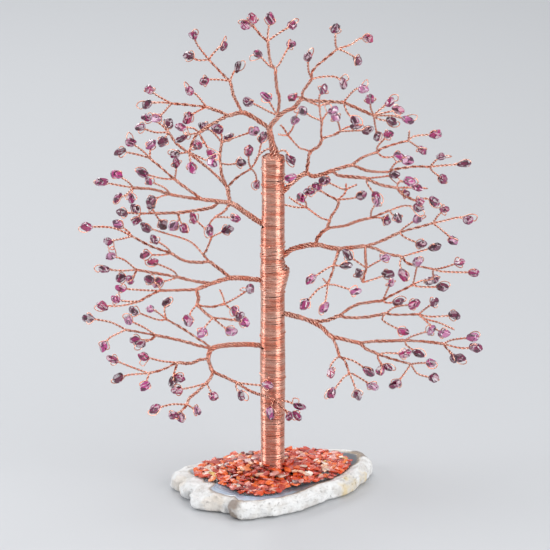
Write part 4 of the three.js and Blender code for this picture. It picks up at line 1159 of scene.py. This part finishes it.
def collar():
    """The second layer of winding, whose turns cross and bulge to the right, and the stray turns."""
    heap = Heap()
    low, high = COLLAR_LOW.z - 1.5, COLLAR_HIGH.z + 2
    laps = int((high - low) / COLLAR_PITCH)
    line = []
    for i in range(laps * TURN_STEPS + 1):
        lap = i / TURN_STEPS
        turn = 2 * math.pi * lap
        share = lap / laps
        bulge = min(1.0, share / 0.62) * min(1.0, max(0.0, 0.86 - share) / 0.08)
        tilt = (0.3 + 1.7 * max(0.0, share - 0.55)) * (1 + 0.6 * math.sin(lap * 1.7))
        height = low + (high - low) * share + tilt * math.cos(turn - 0.4) + 0.2 * math.sin(3 * turn + lap)
        reach = trunk_reach(turn, height) + 0.25 + 0.12 * math.sin(lap * 2.3 + turn)
        sideways = COLLAR_BULGE * bulge * max(0.0, math.cos(turn)) ** 1.2
        line.append(((reach + sideways) * math.cos(turn), reach * math.sin(turn), height))
    wound_wire(heap, line)
    for height, tilt, phase in STRAY_TURNS:
        ring = []
        for k in range(TURN_STEPS + 6):
            turn = 2 * math.pi * k / TURN_STEPS + phase * 6
            reach = trunk_reach(turn, height) + STRAY_OUT
            ring.append(at_turn(reach, turn, height + tilt * math.cos(turn) + 0.012 * k))
        tube(heap, np.array(ring), WINDING, WINDING_SIDES)
    heap.piece("trunk_wrap_collar_wire", wound_copper, "trunk_copper", "trunk_wrap_collar")


CORE_WIRES_ACROSS = 9.2
CORE_SIDES = 6


def core_wires():
    """The straight wires inside the winding, whose ends show at the top as a low dome."""
    dice = random.Random(7)
    heap = Heap()
    radius = TRUNK_RADIUS / CORE_WIRES_ACROSS
    for row in range(-5, 6):
        for column in range(-5, 6):
            x = (column + 0.5 * (row % 2)) * 2 * radius
            y = row * math.sqrt(3) * radius
            if math.hypot(x, y) > TRUNK_RADIUS - radius:
                continue
            top = TRUNK_TOP + 0.4 - 0.045 * math.hypot(x, y) ** 2 + dice.uniform(-0.5, 0.4)
            lean = dice.uniform(-0.2, 0.2)
            line = [(x, y, CORE_LOW.z), (x, y, TRUNK_TOP - 6), (x * 0.96 + lean, y * 0.96, top)]
            tube(heap, smooth_route(line, 40)[0], radius, CORE_SIDES)
    heap.piece("trunk_core_wires", twig_copper, "trunk_copper", "trunk_core")


core_wires()
winding("trunk_wrap_lower_wire", "trunk_wrap_lower", CORE_LOW.z + 0.3, LOWER_WRAP_HIGH.z, random.Random(3))
winding("trunk_wrap_upper_wire", "trunk_wrap_upper", LOWER_WRAP_HIGH.z, TRUNK_TOP - 0.6, random.Random(5))
collar()


# ---------------------------------------------------------------- base

# Outlines of the slice and of the mound seen from above, going round from the left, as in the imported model.
SLAB_OUTLINE = [
  (-52, 7), (-52.5, 2), (-50, -1.5), (-46.8, -2.5), (-46.4, -6), (-46.5, -11), (-44, -14.5), (-40.8, -15),
  (-40.2, -19), (-40, -25), (-36, -30), (-30, -33.5), (-25, -35.5), (-22.2, -36), (-21.5, -39.5),
  (-17, -43), (-10, -42.8), (0, -39.5), (11, -33.5), (19, -26.5), (27, -16.5), (35, -10), (42, 0),
  (47, 12), (50.5, 23), (48, 35), (38.5, 40), (26, 43), (10, 43), (-6, 40), (-20, 33), (-32, 24),
  (-42, 17), (-49, 11.5),
]
MOUND_OUTLINE = [
  (-39, 3), (-34, -7), (-24, -15), (-17, -27), (-9, -31), (0, -29), (6, -20), (16, -13), (27, -7), (34, 3),
  (38, 15), (35, 27), (24, 34), (8, 35), (-8, 32), (-22, 25), (-34, 14),
]
MOUND_FOOT = GLUE_HIGH.z - 1.2
MOUND_EDGE = 0.7  # the mound's height above its foot, at its edge and at its middle
MOUND_PEAK = 9.6


def ring_of(outline, count):
    """Evenly spread points of a smooth closed line through an outline's points."""
    closed = np.array([(x, y, 0.0) for x, y in [*outline[-2:], *outline, *outline[:3]]])
    route, stops = smooth_route(closed, 0.5)
    route = route[stops[2]:stops[2 + len(outline)] + 1]
    length = lengths_along(route)
    even = np.linspace(0, length[-1], count, endpoint=False)
    return np.stack([np.interp(even, length, route[:, k]) for k in range(2)], axis=1)


def bell(turn, middle, width):
    """1 in one direction, falling to 0 away from it. middle is in degrees."""
    return math.exp(-((math.remainder(turn - math.radians(middle), 2 * math.pi) / width) ** 2))


def rind_width(turn):
    """The rind is wide at the left and at the right, and narrow along the front."""
    return 3.2 + 6.5 * bell(turn, 190, 0.55) + 3.5 * bell(turn, 8, 0.5)


SLAB_COLUMNS = 520
LOBES_AT = math.radians(222)


def agate_slice():
    """The slab: a flat polished face and a lumpy rind, stepped into lobes at the left front."""
    columns = SLAB_COLUMNS
    edge = ring_of(SLAB_OUTLINE, columns)
    reach = np.linalg.norm(edge, axis=1)
    out = edge / reach[:, None]
    top = SLAB_TOP - 0.25
    # Each ring has a share of the reach or an inset from the edge, and a height: first the flat face,
    rings = [(share, None, top) for share in (0.04, 0.2, 0.36, 0.5, 0.62, 0.72)]
    rings += [(None, inset, top) for inset in (8, 7, 6.2, 5.5)]
    # then the rounded shoulder, the side, its foot and the underside.
    rings += [(None, 4.8 - 0.5 * k, top + 0.25 - 2.6 * (max(0, k - 1) / 8) ** 2.2) for k in range(10)]
    rings += [(None, -0.15 * math.sin(math.pi * k / 8), top - 2.3 - (top - 4.2) * k / 8) for k in range(9)]
    rings += [(None, 0.35 * k * k, 1.9 - 0.62 * k) for k in range(1, 4)]
    rings += [(None, 5.0, 0.0), (0.5, None, 0.0), (0.04, None, 0.0)]
    points = []
    insets = []
    for share, inset, height in rings:
        for column in range(columns):
            away = reach[column] * share if share else reach[column] - inset
            depth = reach[column] - away
            x, y = out[column] * away
            loose = min(1.0, max(0.0, (6.5 - depth) / 3.5))
            left = max(0.0, math.cos(math.atan2(y, x) - LOBES_AT)) ** 3
            at = Vector((x, y, height))
            lobes = noise.noise(at / 11 + Vector((3, 1, 0))) * (1.1 + 2.4 * left)
            knobs = noise.noise(at / 4.2) * (0.6 + 0.7 * left)
            grit = noise.noise(at / 1.7) * (0.25 + 0.15 * left)
            shift = loose * (lobes + (knobs + grit))
            if height > 0.01:
                lift = loose * (noise.noise(at / 6 + Vector((9, 4, 2))) * 0.9 - 0.25 * left)
                z = max(height + lift * min(1.0, height / 4), 0.15)
            else:
                z = 0.0
                shift = min(shift, 0.0)
            points.append((*(out[column] * (away + shift)), z))
            insets.append(max(0.0, depth + 3.8 - rind_width(math.atan2(y, x))) if z > top - 3 else 0.0)
    faces = [tuple(range(columns))]
    faces += [face[::-1] for face in walls(len(rings), columns)]
    faces.append(tuple((len(rings) - 1) * columns + k for k in reversed(range(columns))))
    slab = piece("agate_slice_stone", points, faces, agate_stone, "agate", "agate_slice")
    inset = slab.data.attributes.new("inset", "FLOAT", "POINT")
    inset.data.foreach_set("value", insets)


def mound_height(share):
    return MOUND_FOOT + MOUND_EDGE + (MOUND_PEAK - MOUND_EDGE) * (1 - share) ** 1.2


def inside_mound(x, y, edge_turn, edge_reach):
    """How far out a spot lies in the mound, from 0 at the middle to 1 at the edge."""
    return math.hypot(x, y) / np.interp(math.atan2(y, x), edge_turn, edge_reach)


# The layers of the heap from below: how far apart the chips of one lie, and how deep they lie in the mound.
JASPER_LAYERS = [(3.6, 5.0), (3.3, 3.4), (3.1, 2.4), (3.0, 1.6), (3.0, 0.9)]
JASPER_TRIES = 9000
JASPER_CORNERS = 12
JASPER_ROUNDING = 0.13


def jasper_chips():
    """The heap of chips: layers of them, scattered so that no two in a layer sit on one spot."""
    dice = random.Random(23)
    edge = ring_of(MOUND_OUTLINE, 120)
    turn = np.arctan2(edge[:, 1], edge[:, 0])
    order = np.argsort(turn)
    edge_turn = turn[order]
    edge_reach = np.linalg.norm(edge, axis=1)[order]
    heap = Heap()
    floor = SLAB_TOP + 0.15
    for layer, (spacing, sink) in enumerate(JASPER_LAYERS):
        placed = []
        for _ in range(JASPER_TRIES):
            x, y = dice.uniform(-41, 40), dice.uniform(-33, 37)
            share = inside_mound(x, y, edge_turn, edge_reach)
            trunk = math.hypot(x, y)
            if share > 1.02 or trunk < TRUNK_RADIUS + 1.5:
                continue
            if any((x - a) ** 2 + (y - b) ** 2 < spacing**2 for a, b in placed):
                continue
            height = mound_height(min(share, 1.0)) - sink
            if height < floor - 0.8 and layer < len(JASPER_LAYERS) - 1:
                continue
            placed.append((x, y))
            long = dice.uniform(2.0, 3.7)
            size = (long, long * dice.uniform(0.55, 0.85), long * dice.uniform(0.18, 0.34))
            points, faces = stone(size, JASPER_CORNERS, dice, JASPER_ROUNDING)
            tilt = dice.uniform(-0.34, 0.34)
            heading = dice.uniform(0, 2 * math.pi)
            along = (math.cos(heading), math.sin(heading), tilt)
            across = (-math.sin(heading), math.cos(heading), dice.uniform(-0.45, 0.45))
            points = turned(points, along, across, (x, y, height + dice.uniform(-0.4, 0.4)))
            points[:, 2] += max(0.0, floor - points[:, 2].min())
            heap.add(points, faces)
    heap.piece("jasper_chips_heap", jasper_stone, "jasper", "jasper_chips", smooth=False)


def glue_bed():
    """The film of clear glue that shows round the chips and between them."""
    columns = 240
    edge = ring_of(MOUND_OUTLINE, columns)
    reach = np.linalg.norm(edge, axis=1)
    out = edge / reach[:, None]
    thick = GLUE_HIGH.z - GLUE_LOW.z
    low = SLAB_TOP + 0.02
    rings = [(0.16, low + thick), (0.5, low + thick), (0.8, low + thick * 0.9), (0.93, low + thick * 0.72)]
    rings += [(0.98, low + thick * 0.5), (1.01, low + thick * 0.25), (1.025, low), (0.16, low)]
    points = []
    for share, height in rings:
        for k in range(columns):
            wobble = 1.1 * noise.noise(Vector((edge[k][0] / 6, edge[k][1] / 6, 0))) * (share > 0.5)
            points.append((*(out[k] * (reach[k] * share + wobble)), height))
    faces = [face[::-1] for face in walls(len(rings), columns, closed=True)]
    piece("glue_film", points, faces, clear_glue, "resin", "resin_bed")


agate_slice()
glue_bed()
jasper_chips()


# ---------------------------------------------------------------- stage


def studio_floor():
    finish = Finish("studio_floor", roughness=0.55, ior=1.4)
    greys = [(0.0, (0.54, 0.55, 0.57)), (1.0, (0.57, 0.58, 0.59))]
    finish.set("base_color", finish.ramp(finish.noise(900, 2), greys))
    bpy.ops.mesh.primitive_circle_add(vertices=96, radius=9, fill_type="NGON", location=(0, 0, 0))
    floor = bpy.context.object
    floor.name = "studio_floor"
    floor.data.materials.append(finish.material)


def soft_light(name, place, aim, size, power, colour=(1, 1, 1)):
    data = bpy.data.lights.new(name, "AREA")
    data.shape = "RECTANGLE"
    data.size, data.size_y = size
    data.energy = power
    data.color = colour
    light = bpy.data.objects.new(name, data)
    light.visible_camera = False
    light.location = place
    light.rotation_euler = (Vector(aim) - Vector(place)).to_track_quat("-Z", "Y").to_euler()
    bpy.context.scene.collection.objects.link(light)


CAMERA_AIM = Vector((0.0009, 0, 0.115))
CAMERA_DISTANCE = 2.0
CAMERA_ELEVATION = math.radians(17)
SEEN_WIDTH = 0.275  # of the view, where the trunk stands


def camera():
    data = bpy.data.cameras.new("camera")
    made = bpy.data.objects.new("camera", data)
    bpy.context.scene.collection.objects.link(made)
    back = Vector((0, -math.cos(CAMERA_ELEVATION), math.sin(CAMERA_ELEVATION)))
    made.location = CAMERA_AIM + CAMERA_DISTANCE * back
    made.rotation_euler = (CAMERA_AIM - made.location).to_track_quat("-Z", "Y").to_euler()
    data.lens = data.sensor_width * CAMERA_DISTANCE / SEEN_WIDTH
    data.clip_end = 50
    bpy.context.scene.camera = made


world = bpy.data.worlds.new("studio")
world.use_nodes = True
world.node_tree.nodes["Background"].inputs["Color"].default_value = (0.80, 0.82, 0.85, 1)
world.node_tree.nodes["Background"].inputs["Strength"].default_value = 0.6
bpy.context.scene.world = world
bpy.context.scene.view_settings.view_transform = "Standard"
middle = (0, 0, 0.12)
soft_light("key", (1.0, -0.95, 0.65), middle, (1.4, 1.1), 17)
soft_light("fill", (-1.3, -0.1, 0.5), middle, (0.8, 1.1), 10, (0.95, 0.97, 1))
soft_light("rim", (-0.4, 1.2, 0.9), middle, (0.9, 0.5), 5)
soft_light("top", (0, 0.1, 1.8), (0, 0.1, 0), (1.4, 1.4), 10)
studio_floor()
camera()
